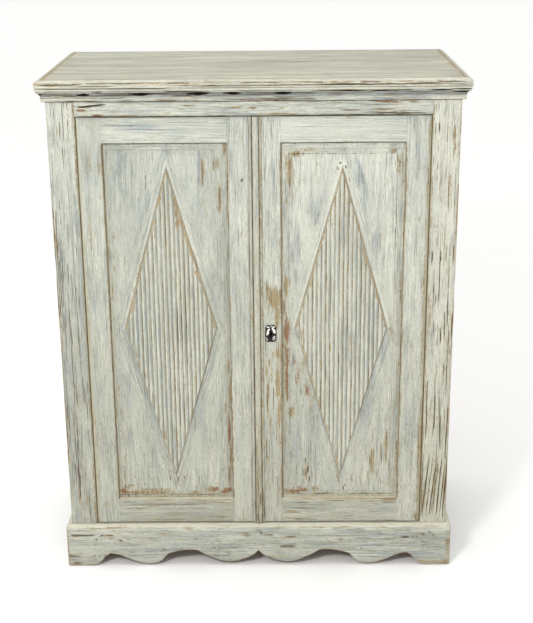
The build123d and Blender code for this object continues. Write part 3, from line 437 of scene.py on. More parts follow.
def subdivide(pts, step):
    """Closed 2-D polyline with extra points so that no edge is longer than its step."""
    out = []
    n = len(pts)
    for i in range(n):
        a, b = np.array(pts[i], float), np.array(pts[(i + 1) % n], float)
        L = np.linalg.norm(b - a)
        k = max(1, int(math.ceil(L / step)))
        for j in range(k):
            out.append(a + (b - a) * j / k)
    return np.array(out)


def round_loop(pts, r, seg=4):
    """Rounds the corners of a closed polygon; r is one radius or one per corner."""
    n = len(pts)
    rs = [r] * n if np.isscalar(r) else list(r)
    out = []
    for i in range(n):
        p, a, b = (np.array(pts[k], float) for k in (i, i - 1, (i + 1) % n))
        if rs[i] <= 0:
            out.append(p)
            continue
        u, v = a - p, b - p
        lu, lv = np.linalg.norm(u), np.linalg.norm(v)
        u, v = u / lu, v / lv
        ang = math.acos(max(-1, min(1, float(u @ v))))
        d = min(rs[i] / math.tan(ang / 2), 0.45 * lu, 0.45 * lv)
        rr = d * math.tan(ang / 2)
        c = p + (u + v) / np.linalg.norm(u + v) * (rr / math.sin(ang / 2))
        s, e = p + u * d, p + v * d
        a0 = math.atan2(*(s - c)[::-1])
        a1 = math.atan2(*(e - c)[::-1])
        da = (a1 - a0 + math.pi) % (2 * math.pi) - math.pi
        for j in range(seg + 1):
            w = a0 + da * j / seg
            out.append(c + rr * np.array([math.cos(w), math.sin(w)]))
    return np.array(out)


def tube(S):
    """Faces of a stack of closed sections S (stations, points, 3), capped at both ends."""
    s, k = S.shape[:2]
    i, j = np.meshgrid(np.arange(s - 1), np.arange(k), indexing="ij")
    j2 = (j + 1) % k
    quads = np.stack([i * k + j, i * k + j2, (i + 1) * k + j2, (i + 1) * k + j], -1).reshape(-1, 4)
    F = quads.tolist()
    F.append(list(range(k))[::-1])
    F.append([(s - 1) * k + q for q in range(k)])
    return S.reshape(-1, 3), F


def stations(a, b, step, extra=(), end=1.2):
    base = np.linspace(a, b, max(2, int(math.ceil((b - a) / step)) + 1))
    return np.unique(np.round(np.concatenate([base, [a + end, b - end], np.array(extra, float)]), 4))


def stick(name, loop, a, b, axis, body, stands, seed, step=6.0, across=3.0, rough_fn=None, wear_fn=None,
          dirt_and_shade_fn=None, tone_fn=None, bare_fn=None, end_r=1.0, edges=0.5, mats=None, extra=(),
          warp=None, more_fn=None, keep_fn=None, along=1.0):
    """A straight member: a closed 2-D loop carried along an axis, with eased arrises, grain and rubbed edges.

    loop is in (x, y) for axis z, (y, z) for axis x and (x, z) for axis y.
    rough_fn(along, loop point, P) gives how far a point sinks into the wood."""
    loop = subdivide(loop, across)
    k = len(loop)
    zs = stations(a, b, step, extra)
    s = len(zs)
    c0 = (loop.max(0) + loop.min(0)) / 2
    half = (loop.max(0) - loop.min(0)) / 2
    L = np.repeat(loop[None], s, 0)
    # eased ends
    d_end = np.minimum(zs - a, b - zs)
    inset = np.where(d_end < 1e-6, end_r, 0.0)
    sc = 1 - inset[:, None] / np.maximum(half[None], 1e-6)
    L = c0 + (L - c0) * sc[:, None, :]
    Z = np.repeat(zs[:, None], k, 1)
    if axis == "z":
        P = np.stack([L[..., 0], L[..., 1], Z], -1)
    elif axis == "x":
        P = np.stack([Z, L[..., 0], L[..., 1]], -1)
    else:
        P = np.stack([L[..., 0], Z, L[..., 1]], -1)
    # outward 2-D normals of the loop
    nx = np.roll(loop, -1, 0) - np.roll(loop, 1, 0)
    nrm = np.stack([nx[:, 1], -nx[:, 0]], -1)
    nrm /= np.maximum(np.linalg.norm(nrm, axis=1, keepdims=True), 1e-9)
    area = 0.5 * np.sum(loop[:, 0] * np.roll(loop[:, 1], -1) - loop[:, 1] * np.roll(loop[:, 0], -1))
    if area < 0:
        nrm = -nrm
    # how sharply the loop turns: arrises
    t1 = loop - np.roll(loop, 1, 0)
    t2 = np.roll(loop, -1, 0) - loop
    turn = np.abs(np.arctan2(t1[:, 0] * t2[:, 1] - t1[:, 1] * t2[:, 0], (t1 * t2).sum(1)))
    seglen = 0.5 * (np.linalg.norm(t1, axis=1) + np.linalg.norm(t2, axis=1))
    cumul = np.concatenate([[0], np.cumsum(np.linalg.norm(t2, axis=1))[:-1]])
    per = cumul[-1] + np.linalg.norm(t2[-1])
    arris = np.zeros(k)
    for q in np.nonzero(turn > 0.25)[0]:
        d = np.abs(cumul - cumul[q])
        d = np.minimum(d, per - d)
        arris = np.maximum(arris, np.exp(-(d / 2.4) ** 2) * min(1.0, turn[q] / 0.4))
    A = np.repeat(arris[None], s, 0)
    if rough_fn is not None:
        sink, more = rough_fn(P, Z, np.repeat(cumul[None], s, 0))
    else:
        sink, more = 0.18 * fb(Z / 40.0, np.repeat(cumul[None], s, 0) / 6.0, seed), 0.0
    # arrises lose a little more, unevenly
    sink = sink + A * 0.7 * ss(0.45, 0.8, fb(Z / 55.0, np.repeat(cumul[None], s, 0) / 30.0, seed + 5))
    sink = sink * ss(0, 3.0, d_end)[:, None]
    off = nrm[None] * (-sink[..., None])
    if axis == "z":
        P[..., 0] += off[..., 0]; P[..., 1] += off[..., 1]
    elif axis == "x":
        P[..., 1] += off[..., 0]; P[..., 2] += off[..., 1]
    else:
        P[..., 0] += off[..., 0]; P[..., 2] += off[..., 1]
    if warp is not None:
        P = warp(P)
    V, F = tube(P)
    Zf = Z.reshape(-1)
    cu = np.repeat(cumul[None], s, 0).reshape(-1)
    wear = edges * A.reshape(-1) * (0.25 + 0.95 * fb(Zf / 38.0, cu / 25.0, seed + 3))
    wear = wear + 0.10 * (fb(Zf / 90.0, cu / 14.0, seed + 8) - 0.5)
    if keep_fn is not None:
        wear = wear * keep_fn(V)
    if wear_fn is not None:
        wear = np.maximum(wear, wear_fn(V))
    dirt_and_shade = np.zeros(len(V)) + np.asarray(more).reshape(-1) if np.ndim(more) else np.zeros(len(V))
    if dirt_and_shade_fn is not None:
        dirt_and_shade = np.maximum(dirt_and_shade, dirt_and_shade_fn(V))
    tone = tone_fn(V) if tone_fn is not None else np.zeros(len(V))
    off3 = np.array([seed * 0.731, seed * 0.377, seed * 1.913])
    if axis == "z":
        pc = np.stack([V[:, 0], V[:, 1], V[:, 2]], -1)
    elif axis == "x":
        pc = np.stack([V[:, 2], V[:, 1], V[:, 0]], -1)
    else:
        pc = np.stack([V[:, 0], V[:, 2], V[:, 1]], -1)
    at = {"pc": pc * MM * [1, 1, along] + off3, "wear": wear, "dirt_and_shade": dirt_and_shade, "tone": tone}
    at["warm"] = by_height(V)
    at["grime"] = grime_at(V)
    at["red"] = spots(V[:, 0], V[:, 2], RED) - 0.35
    if more_fn is not None:
        at.update(more_fn(V))
    fm = None
    mats = mats or [PAINT, PINE]
    if bare_fn is not None:
        C = np.array([V[f].mean(0) if len(f) > 4 else V[f[0]] * 0.5 + V[f[2]] * 0.5 for f in F])
        fm = bare_fn(C).astype(np.int32)
    return build(name, V, F, body, stands, at, mats, fm)


def lattice(xs, ys, zs):
    """Closed grid on the six sides of a box."""
    nx, ny, nz = len(xs), len(ys), len(zs)
    mask = np.zeros((nx, ny, nz), bool)
    mask[0] = mask[-1] = True
    mask[:, 0] = mask[:, -1] = True
    mask[:, :, 0] = mask[:, :, -1] = True
    I = np.full((nx, ny, nz), -1)
    idx = np.argwhere(mask)
    I[mask] = np.arange(len(idx))
    V = np.stack([np.asarray(xs)[idx[:, 0]], np.asarray(ys)[idx[:, 1]], np.asarray(zs)[idx[:, 2]]], -1)
    F = []

    def quads(G, flip):
        q = np.stack([G[:-1, :-1], G[1:, :-1], G[1:, 1:], G[:-1, 1:]], -1).reshape(-1, 4)
        F.append(q[:, ::-1] if flip else q)

    quads(I[0], True); quads(I[-1], False)
    quads(I[:, 0], False); quads(I[:, -1], True)
    quads(I[:, :, 0], True); quads(I[:, :, -1], False)
    return V, np.concatenate(F)


# ------------------------------------------------------------------ where paint is rubbed off (front view, mm)
# x, z, half width, half height, strength
STILE_LINES = [
    (24, 400, 26, 500, 1.6, 0.62), (30, 470, 31, 560, 1.2, 0.5), (38, 380, 40, 470, 1.4, 0.55), (45, 300, 46, 420, 1.2, 0.5), (22, 280, 23, 380, 1.4, 0.6), (28, 180, 29, 300, 1.2, 0.5), (37, 220, 38, 330, 1.2, 0.45),
    (48, 140, 49, 250, 1.2, 0.5), (33, 620, 33, 668, 1.0, 0.4), (22, 560, 22.5, 640, 1.2, 0.5), (26, 800, 27, 900, 1.0, 0.36), (44, 860, 45, 960, 1.0, 0.32), (36, 1000, 37, 1090, 1.0, 0.30),
]
PANEL_LINES = [
    (116, 285, 117, 262, 1.1, 0.75), (121, 262, 122, 240, 1.3, 0.9), (126, 236, 125, 214, 1.2, 0.85), (111, 256, 112, 236, 1.0, 0.7), (93, 262, 94, 236, 1.0, 0.6), (104, 330, 105, 296, 1.0, 0.55), (80, 300, 81, 262, 1.0, 0.55),
    (131, 250, 132, 226, 1.1, 0.7), (118, 232, 130, 230, 1.2, 0.6), (90, 224, 106, 223, 1.1, 0.55), (206, 208, 209, 196, 1.3, 0.8), (213, 214, 214, 204, 1.1, 0.7), (222, 206, 236, 205, 1.0, 0.35), (229, 240, 230, 214, 1.1, 0.6),
    (248, 207, 262, 206, 1.0, 0.35), (176, 196, 200, 195, 1.1, 0.35), (140, 188, 190, 187.4, 1.2, 0.4), (200, 190, 300, 189.4, 1.2, 0.3), (299, 330, 300, 262, 1.0, 0.6), (290, 248, 291, 214, 1.0, 0.55), (262, 320, 263, 280, 1.0, 0.5),
    (86, 560, 87, 520, 1.1, 0.6), (104, 470, 105, 440, 1.0, 0.6), (98, 430, 99, 392, 1.0, 0.55), (80, 380, 81, 340, 1.0, 0.5), (118, 400, 119, 372, 1.0, 0.5), (90, 860, 91, 820, 1.0, 0.5), (102, 980, 103, 950, 1.0, 0.6),
    (190, 1012, 197, 1006, 1.2, 0.9), (203, 1004, 208, 994, 1.2, 0.85), (212, 978, 216, 962, 1.1, 0.7), (186, 1000, 190, 990, 1.1, 0.7), (243, 988, 245, 958, 1.1, 0.6), (322, 760, 323, 700, 1.0, 0.55), (320, 860, 321, 820, 1.0, 0.45),
    (-245, 985, -246, 945, 1.1, 0.7), (-262, 940, -263, 915, 1.0, 0.5), (-330, 905, -331, 870, 1.0, 0.55), (-300, 800, -301, 770, 1.0, 0.45), (-320, 640, -321, 600, 1.0, 0.5), (-100, 720, -101, 680, 1.0, 0.5), (-122, 830, -123, 790, 1.0, 0.5),
    (-270, 262, -244, 261, 1.2, 0.5), (-330, 212, -300, 211, 1.2, 0.55), (-180, 236, -176, 224, 1.4, 0.7), (-215, 240, -213, 222, 1.3, 0.7), (-196, 236, -194, 218, 1.3, 0.75), (-112, 216, -88, 214, 1.1, 0.3), (-150, 208, -120, 207, 1.0, 0.3),
]
BOTTOM_LINES = [
    (-335, 160, -110, 163, 3.6, 0.52), (-300, 151, -150, 149, 2.6, 0.42), (-200, 168, -70, 167, 2.4, 0.45), (-330, 139, -180, 137, 2.2, 0.36), (-170, 128, -70, 126, 2.0, 0.36), (-290, 122, -120, 121, 2.0, 0.30),
    (72, 165, 130, 166, 2.4, 0.62), (75, 151, 160, 149, 2.2, 0.66), (150, 147, 190, 146, 1.8, 0.5), (160, 170, 215, 171, 1.8, 0.6), (80, 120, 160, 119, 2.6, 0.6), (170, 121, 240, 120, 2.2, 0.5), (300, 165, 338, 166, 3.0, 0.6),
    (-330, 168, -290, 167, 1.8, 0.6), (-260, 160, -215, 161, 1.8, 0.6), (-180, 152, -120, 151, 2.0, 0.6), (-120, 160, -70, 158, 2.0, 0.55), (-320, 128, -270, 129, 1.8, 0.5), (-240, 131, -190, 130, 1.8, 0.5),
    (70, 160, 200, 158, 2.8, 0.40), (150, 168, 300, 170, 2.2, 0.36), (220, 150, 335, 148, 2.6, 0.40), (80, 128, 230, 126, 2.4, 0.36), (180, 138, 300, 139, 2.0, 0.30),
]
RUB_DOORS = [
    # left door, panel
    (-117, 988, 6, 34, 0.95), (-118, 925, 4, 26, 0.55), (-86, 1008, 10, 15, 0.9), (-80, 930, 6, 30, 0.85),
    (-82, 905, 5, 10, 0.95), (-66, 1040, 6, 16, 0.9), (-63, 452, 5, 46, 1.05), (-68, 360, 5, 48, 1.1), (-64, 280, 4, 50, 1.0), (-66, 520, 4, 26, 0.9), (-74, 420, 3, 30, 0.8),
    (-69, 236, 5, 34, 1.0), (-270, 191, 66, 5.4, 1.25), (-255, 199, 40, 4.6, 1.0), (-112, 199, 20, 6.5, 1.3), (-73, 196, 11, 9, 1.4), (-84, 192, 12, 6, 1.25), (-330, 194, 8, 10, 1.2), (-150, 192, 16, 3.4, 1.0),
    (-125, 184, 20, 2.4, 0.95), (-320, 205, 14, 7, 0.7), (-200, 186, 120, 1.8, 0.8), (-336, 800, 4, 60, 0.55), (-338, 620, 4, 60, 0.4), (-338, 420, 4, 60, 0.45),
    (-336, 215, 6, 14, 0.7), (-210, 247, 16, 9, 0.55), (-336, 690, 3, 60, 0.4),
    # left door, frame
    (-374, 1012, 7, 32, 0.75), (-348, 1000, 5, 22, 0.6), (-376, 850, 4, 90, 0.5), (-390, 660, 3, 160, 0.55),
    (-372, 163, 9, 11, 0.7), (-240, 163.5, 62, 3.0, 0.98), (-250, 158, 30, 2.6, 0.8), (-85, 165, 26, 2.8, 0.92), (-90, 147, 32, 2.6, 0.85), (-300, 150, 34, 2.4, 0.65),
    (-140, 170, 16, 2.4, 0.7), (-200, 136, 70, 2.2, 0.55), (-110, 128, 40, 2.4, 0.65), (-280, 122, 50, 2.2, 0.6),
    (-200, 120, 120, 4, 0.5), (-60, 470, 4, 40, 0.5), (-388, 300, 4, 120, 0.5),
    # meeting edge and astragal
    (3, 790, 6, 20, 0.7), (2, 560, 6, 50, 0.45), (-9, 640, 3, 70, 0.5), (4, 700, 5, 30, 0.45), (3, 240, 6, 60, 0.5),
    (14, 900, 3, 50, 0.5), (14, 420, 3, 160, 0.5),
    # right door, meeting stile
    (47, 692, 15, 27, 1.35), (33, 706, 5, 16, 1.0), (50, 640, 6, 34, 0.8), (54, 560, 6, 26, 0.9), (51, 480, 6.5, 44, 1.25), (53, 400, 5.5, 60, 0.9), (52, 320, 4.5, 50, 0.6),
    (27, 456, 4.5, 26, 1.0), (26, 410, 3, 26, 0.8), (36, 500, 3, 30, 0.7), (31, 380, 2.6, 40, 0.7), (52, 200, 3, 30, 0.7), (31, 536, 6, 12, 0.75), (40, 552, 5, 12, 0.7), (44, 430, 3, 40, 0.5), (22, 330, 4, 60, 0.5), (36, 270, 3, 60, 0.4), (56, 240, 3.5, 60, 0.6),
    (42, 694, 17, 26, 1.2), (50, 655, 9, 26, 0.95), (27, 712, 5, 24, 0.95), (30, 668, 4, 20, 0.7), (25, 520, 5, 34, 0.7), (26, 455, 5, 46, 0.6),
    (58, 560, 5, 100, 0.8), (57, 360, 5, 70, 0.5), (25, 285, 6, 26, 0.55), (55, 800, 4, 60, 0.4), (22, 210, 5, 20, 0.4),
    # right door, panel
    (80, 990, 8, 38, 1.05), (72, 1012, 6, 22, 0.9), (94, 1030, 14, 8, 0.95), (120, 1038, 22, 5, 0.7), (313, 1036, 12, 6, 0.95), (84, 936, 4, 26, 0.7), (72, 920, 4, 24, 0.7), (72, 900, 4, 30, 0.5),
    (71, 722, 8, 27, 1.05), (66, 665, 5, 28, 0.75), (72, 612, 8, 34, 1.15), (73, 548, 7, 30, 0.95), (72, 478, 5.5, 38, 1.1), (72, 520, 4, 30, 0.8), (74, 442, 7, 12, 0.9),
    (81, 404, 6.5, 16, 1.05), (98, 494, 7, 28, 0.8), (109, 520, 4, 22, 0.6), (121, 458, 8, 18, 0.95), (90, 540, 5, 26, 0.55), (66, 330, 3, 60, 0.5), (128, 415, 4, 26, 0.7),
    (85, 405, 7, 14, 0.8), (98, 404, 5, 12, 0.6), (100, 500, 7, 36, 0.6), (118, 470, 7, 30, 0.55), (132, 430, 6, 24, 0.5),
    (120, 247, 8, 22, 0.80), (86, 193, 24, 6.5, 1.35), (112, 197, 15, 5.5, 1.3), (100, 203, 20, 4, 0.85), (138, 200, 14, 5, 0.8), (170, 187, 44, 2.2, 0.9), (262, 185, 46, 2.0, 0.75),
    (277, 270, 8, 36, 0.95), (270, 230, 5, 24, 0.6), (311, 315, 5, 44, 0.95), (298, 300, 3, 34, 0.6), (322, 226, 5, 30, 0.6), (250, 250, 4, 20, 0.45), (327, 1006, 6, 24, 0.8), (334, 980, 4, 40, 0.5),
    (337, 700, 4, 60, 0.6), (336, 560, 3, 70, 0.4), (336, 300, 3, 60, 0.6), (316, 607, 9, 22, 0.55), (314, 640, 5, 12, 0.6),
    (196, 232, 8, 22, 0.5), (290, 860, 4, 50, 0.25),
    # right door, frame
    (82, 141, 22, 3.2, 1.05), (88, 122, 28, 3.0, 0.95), (62, 164, 12, 6, 0.5), (120, 160, 40, 2.6, 0.7), (205, 130, 60, 2.4, 0.6), (316, 171, 22, 4, 0.85),
    (268, 168, 30, 2.6, 0.75), (160, 150, 40, 2.4, 0.55), (290, 140, 30, 2.4, 0.5),
    (346, 240, 4, 70, 0.3), (90, 122, 60, 4, 0.55), (389, 640, 4, 200, 0.75), (389, 900, 4, 120, 0.6), (390, 300, 4, 160, 0.85),
    (386, 128, 8, 12, 0.6), (372, 300, 3, 80, 0.35),
]
# grey-blue smears on the panels: x, z, half width, half height, strength
SMEAR_STILE = [(368, 300, 9, 120, 0.75), (356, 200, 8, 60, 0.6), (376, 420, 6, 90, 0.5), (352, 900, 7, 100, 0.35), (-352, 420, 6, 100, 0.35), (-372, 700, 6, 120, 0.3)]
SMEAR_RAIL = [(300, 150, 36, 12, 0.8), (-300, 150, 30, 10, 0.4), (-150, 142, 40, 9, 0.4), (-250, 1092, 70, 12, 0.75), (-180, 1078, 60, 9, 0.6), (-130, 1100, 40, 8, 0.5), (-310, 1075, 30, 10, 0.4), (110, 1096, 50, 9, 0.45), (90, 1072, 30, 6, 0.4), (300, 1108, 60, 5, 0.5)]
SMEAR = [
    (238, 985, 10, 30, 0.9), (250, 940, 9, 36, 0.55), (228, 1010, 6, 20, 0.5), (275, 1010, 30, 9, 0.4), (140, 900, 26, 40, 0.35),
    (95, 800, 14, 60, 0.45), (160, 930, 14, 26, 0.45), (110, 960, 14, 22, 0.3), (305, 940, 12, 30, 0.35), (200, 1035, 70, 8, 0.45),
    (280, 820, 12, 50, 0.3), (-150, 960, 22, 60, 0.4), (-120, 800, 16, 60, 0.35), (-260, 900, 22, 70, 0.4), (-310, 700, 12, 90, 0.35),
    (-300, 480, 16, 70, 0.45), (-120, 470, 18, 70, 0.45), (-250, 300, 22, 40, 0.35), (-130, 300, 22, 40, 0.4), (110, 320, 22, 50, 0.4),
    (280, 440, 18, 70, 0.4), (300, 560, 10, 50, 0.35), (90, 330, 24, 60, 0.6), (112, 380, 14, 50, 0.5), (255, 370, 16, 60, 0.5), (-290, 560, 14, 60, 0.45), (-110, 560, 12, 60, 0.5),
    (-262, 420, 10, 60, 0.5), (-140, 400, 10, 60, 0.5), (150, 280, 26, 34, 0.3), (-200, 1035, 80, 8, 0.4),
]
# where the bared wood is redder: x, z, half width, half height, strength
RED = [(72, 600, 10, 60, 1.3), (72, 480, 8, 60, 1.2), (97, 494, 10, 50, 1.2), (121, 458, 10, 30, 1.2), (94, 196, 30, 14, 0.55), (-74, 196, 14, 14, 1.5), (-66, 380, 10, 150, 1.3), (-110, 198, 26, 12, 1.0), (-330, 194, 12, 12, 1.1),
       (-372, 1136, 30, 12, 1.6), (-346, 1120, 20, 8, 1.4), (298, 1146, 60, 8, 1.0), (60, 1121, 80, 6, 1.0), (54, 560, 8, 30, 0.9), (400, 1121, 60, 6, 0.8)]
RUB_FRAME = [
    # frieze rail
    (-372, 1139, 20, 3.0, 1.0), (-381, 1132, 12, 3.2, 1.1), (-346, 1119.5, 13, 3.2, 1.15), (-142, 1141, 16, 3.0, 0.95),
    (-155, 1133, 22, 2.6, 0.75), (-48, 1137, 40, 2.6, 0.7), (-2, 1135, 10, 2.6, 0.9), (60, 1121, 50, 2.6, 1.0), (218, 1129, 22, 2.2, 0.9),
    (298, 1146, 30, 3.0, 1.0), (354, 1146, 12, 3.0, 0.95), (284, 1131, 34, 2.2, 0.95), (184, 1145, 34, 2.6, 0.6),
    (-250, 1120, 90, 2.2, 0.75), (200, 1120, 80, 2.0, 0.6), (340, 1121, 50, 2.0, 0.6), (-90, 1121, 60, 2.0, 0.55),
    (-395, 1060, 3, 60, 0.6), (-396, 700, 3, 300, 0.6), (396, 800, 3, 260, 0.55), (396, 300, 3, 180, 0.7),
    # posts
    (-459, 880, 2.5, 40, 1.15), (-459, 700, 2.5, 60, 1.1), (-459, 560, 2.5, 30, 0.9), (-459, 380, 2.5, 70, 1.0), (-459, 300, 3, 30, 1.2), (459, 900, 2.5, 80, 1.0), (459, 640, 2.5, 70, 0.9), (459, 420, 2.5, 60, 0.9), (459, 260, 2.5, 70, 1.0),
    (-456, 820, 5, 60, 0.7), (-457, 600, 4, 120, 0.6), (-457, 300, 4, 160, 0.6), (-440, 900, 4, 50, 0.35),
    (-430, 1090, 5, 20, 0.3), (456, 1040, 4, 60, 0.7), (457, 860, 4, 110, 0.7), (457, 560, 4, 160, 0.55),
    (456, 230, 4, 100, 0.7), (446, 1060, 5, 40, 0.65), (440, 950, 4, 40, 0.6), (404, 640, 4, 60, 0.7), (402, 430, 4, 50, 0.6),
    (448, 560, 5, 80, 0.45), (404, 170, 6, 40, 0.6), (430, 240, 7, 60, 0.45), (-418, 170, 8, 24, 0.6), (-436, 180, 5, 40, 0.5),
    (420, 1000, 4, 60, 0.4),
]
RUB_PLINTH = [
    (-170, 103, 8, 4, 0.8), (-372, 85, 14, 2.4, 0.95), (-28, 84, 9, 5, 0.8), (18, 84, 8, 4.5, 0.85), (78, 78, 14, 3, 0.8), (-352, 70, 10, 2.5, 0.55),
    (-300, 98, 60, 2.2, 0.85), (-230, 44, 5, 4, 0.6), (-462, 30, 6, 8, 0.7), (-440, 34, 16, 3, 0.6), (-400, 10, 40, 5, 0.55), (400, 84, 18, 3.0, 0.85),
    (372, 79, 30, 1.8, 0.9), (440, 74, 10, 3, 0.7), (418, 8, 60, 5, 0.95), (462, 8, 8, 10, 1.0), (466, 50, 4, 50, 0.9), (330, 96, 50, 2.2, 0.6),
    (-450, 6, 14, 6, 0.9), (300, 104, 60, 2, 0.7), (150, 104, 90, 2, 0.5), (-400, 104, 60, 2, 0.8),
]
PLINTH_LINES = [
    (-466, 86, -380, 84, 1.4, 1.0), (-392, 84, -352, 86, 1.8, 0.9), (-440, 78, -330, 74, 1.1, 0.5), (-360, 70, -330, 69, 1.4, 0.8), (-466, 60, -400, 57, 1.1, 0.45),
    (-38, 90, -20, 88, 2.2, 0.7), (2, 92, 12, 90, 2.6, 1.1), (24, 86, 40, 83, 1.6, 0.7), (62, 80, 100, 78, 1.8, 0.7), (-10, 66, 140, 62, 1.0, 0.4),
    (345, 78, 420, 80, 1.4, 1.0), (395, 86, 425, 82, 1.8, 1.1), (418, 92, 432, 78, 1.4, 0.9), (300, 72, 380, 76, 1.0, 0.6), (380, 66, 440, 68, 1.0, 0.5),
    (-240, 46, -228, 44, 2.4, 1.1), (-460, 8, -420, 6, 1.6, 0.7), (250, 46, 262, 43, 2.0, 0.8), (120, 84, 170, 82, 1.0, 0.5), (190, 70, 250, 72, 1.1, 0.5),
    (-200, 80, -90, 78, 1.1, 0.5), (-150, 66, -40, 68, 1.0, 0.45), (-300, 60, -240, 62, 1.0, 0.4),
]
SOOT_CORNICE = [
    (-373, 1168, 14, 3.0, 1.9), (-244, 1169, 30, 3.4, 1.5), (-120, 1169.8, 25, 3.6, 2.2), (-46, 1170, 21, 3.0, 2.0), (-44, 1169, 10, 3.6, 1.9), (66, 1169.5, 19, 3.4, 2.0),
    (-470, 1169, 6, 3.0, 1.5), (456, 1170, 20, 2.0, 1.7), (410, 1175, 22, 1.3, 1.7), (212, 1174, 22, 1.2, 1.7), (277, 1173.5, 20, 1.1, 1.6), (456, 1177, 26, 1.1, 1.4), (-342, 1173, 12, 1.4, 0.8),
]
# x0, z0, x1, z1, half width, strength
CORNICE_LINES = [
    (-474, 1167, -380, 1168, 1.1, 0.85), (-423, 1164, -384, 1164, 0.9, 0.9), (-320, 1163, -274, 1162.5, 0.9, 0.9), (-300, 1171, -230, 1169, 1.1, 1.0), (-230, 1169.5, -176, 1174, 1.0, 1.0), (-200, 1173, -90, 1174.5, 0.9, 0.95),
    (-178, 1164, -130, 1165, 1.0, 1.1), (-150, 1166, -120, 1168, 1.0, 1.2), (-100, 1170, -60, 1171, 0.9, 0.9), (-22, 1170.5, 70, 1170.5, 1.1, 1.15), (70, 1169, 160, 1172, 1.2, 0.8), (150, 1173.5, 260, 1173.5, 0.9, 1.15),
    (255, 1173.5, 330, 1172.5, 0.8, 1.0), (330, 1171, 440, 1172, 1.2, 0.85), (380, 1175.5, 440, 1174.5, 0.9, 1.1), (430, 1171, 476, 1169, 1.1, 1.1), (430, 1177, 479, 1177, 0.9, 1.1), (300, 1169, 400, 1169, 0.8, 0.6),
    (-90, 1166, 30, 1165, 0.9, 0.75), (30, 1165, 150, 1166, 1.0, 0.75), (160, 1167, 260, 1168, 0.9, 0.7), (-360, 1166, -280, 1166.5, 0.9, 0.7), (-440, 1161, -330, 1160, 0.8, 0.55), (-260, 1159.5, -150, 1160, 0.8, 0.6),
    (-120, 1161, -10, 1160.5, 0.9, 0.7), (40, 1161, 140, 1160, 0.8, 0.65), (170, 1162, 300, 1161, 0.9, 0.7), (290, 1159, 400, 1160, 0.8, 0.6), (390, 1165, 450, 1166, 0.9, 0.8), (-330, 1174.5, -180, 1176, 0.8, 0.7),
    (-470, 1176.5, -350, 1175.8, 0.8, 0.8), (-40, 1175.5, 90, 1176, 0.8, 0.8), (90, 1176, 230, 1176.5, 0.8, 0.7), (-470, 1155, -300, 1154.2, 0.8, 0.7), (-250, 1154, -60, 1154.5, 0.8, 0.75), (-40, 1154.4, 160, 1154, 0.8, 0.75), (-440, 1152.9, -330, 1153, 1.2, 0.9), (-90, 1156.6, 150, 1155.6, 1.3, 0.95), (-60, 1155.2, 90, 1154.8, 1.2, 0.9), (-300, 1152.8, -180, 1153, 1.1, 0.8),
    (180, 1154, 330, 1154.6, 0.8, 0.6), (-200, 1157.5, -60, 1157, 0.7, 0.45), (60, 1157, 220, 1157.5, 0.7, 0.45),
]


# worn arrises of the door frames: x, z0, z1, half width, strength
LINES = [
    (59.6, 178, 1056, 2.4, 0.95), (64.5, 350, 625, 3.6, 0.62), (57.5, 380, 600, 3.0, 0.70), (340.4, 178, 1056, 2.2, 0.92), (333.0, 200, 1040, 1.3, 0.66),
    (-340.4, 178, 1056, 2.2, 0.88), (-59.6, 178, 700, 2.2, 0.84), (-59.6, 700, 1056, 2.0, 0.66), (-71.0, 185, 520, 1.4, 0.62),
    (-331.5, 560, 860, 1.2, 0.45), (391.0, 880, 1100, 3.0, 0.62), (391.0, 120, 330, 3.6, 0.62),
]


# bare places on the reeds
LOZ_BARE = [
    (-177, 871, 4.5, 13, 1.25), (-178, 892, 3.5, 22, 0.9), (-175, 938, 7, 16, 0.95), (-178, 920, 5, 10, 0.9), (-228, 850, 5, 16, 0.9), (-152, 870, 4, 16, 0.75), (-122, 780, 5, 22, 0.8),
    (-100, 640, 5, 22, 0.85), (-108, 560, 4, 20, 0.55), (-284, 560, 5, 18, 0.8), (-266, 500, 5, 16, 0.7), (-246, 440, 5, 18, 0.7), (-222, 350, 4, 18, 0.7),
    (-176, 330, 4, 22, 0.6), (-158, 392, 4, 18, 0.5), (218, 930, 5, 18, 0.8), (244, 840, 5, 18, 0.85), (274, 740, 5, 20, 0.75), (298, 650, 5, 20, 0.95),
    (104, 600, 5, 22, 0.85), (118, 540, 5, 20, 0.8), (132, 480, 5, 18, 0.8), (148, 425, 5, 16, 0.7), (166, 360, 5, 18, 0.7), (182, 300, 4, 16, 0.75),
    (142, 830, 4, 22, 0.6), (162, 900, 4, 16, 0.6), (282, 560, 4, 18, 0.5),
]


def by_height(V):
    """The coat is yellower toward the foot."""
    return np.interp(V[:, 2], [100, 550, 950], [0.34, 0.24, 0.0])


def grime_at(V):
    """Handled and scuffed most in the lower half."""
    return np.interp(V[:, 2], [0, 420, 760, 1180], [1.0, 0.85, 0.40, 0.35]) * (0.35 + 1.2 * fb(V[:, 2] / 70.0, (V[:, 0] + V[:, 1]) / 30.0, 411))


def front_wear(entries, lines=()):
    def fn(V):
        out = spots(V[:, 0], V[:, 2], entries)
        for x0, z0, z1, w, q in lines:
            m = (np.abs(V[:, 0] - x0) < 9) & (V[:, 2] > z0) & (V[:, 2] < z1)
            out[m] = np.maximum(out[m], q * np.exp(-((V[m, 0] - x0) / w) ** 2) * (0.62 + 0.55 * fb(V[m, 2] / 42.0, 0.5 + 0 * V[m, 2], int(abs(x0)))))
        return out
    return fn


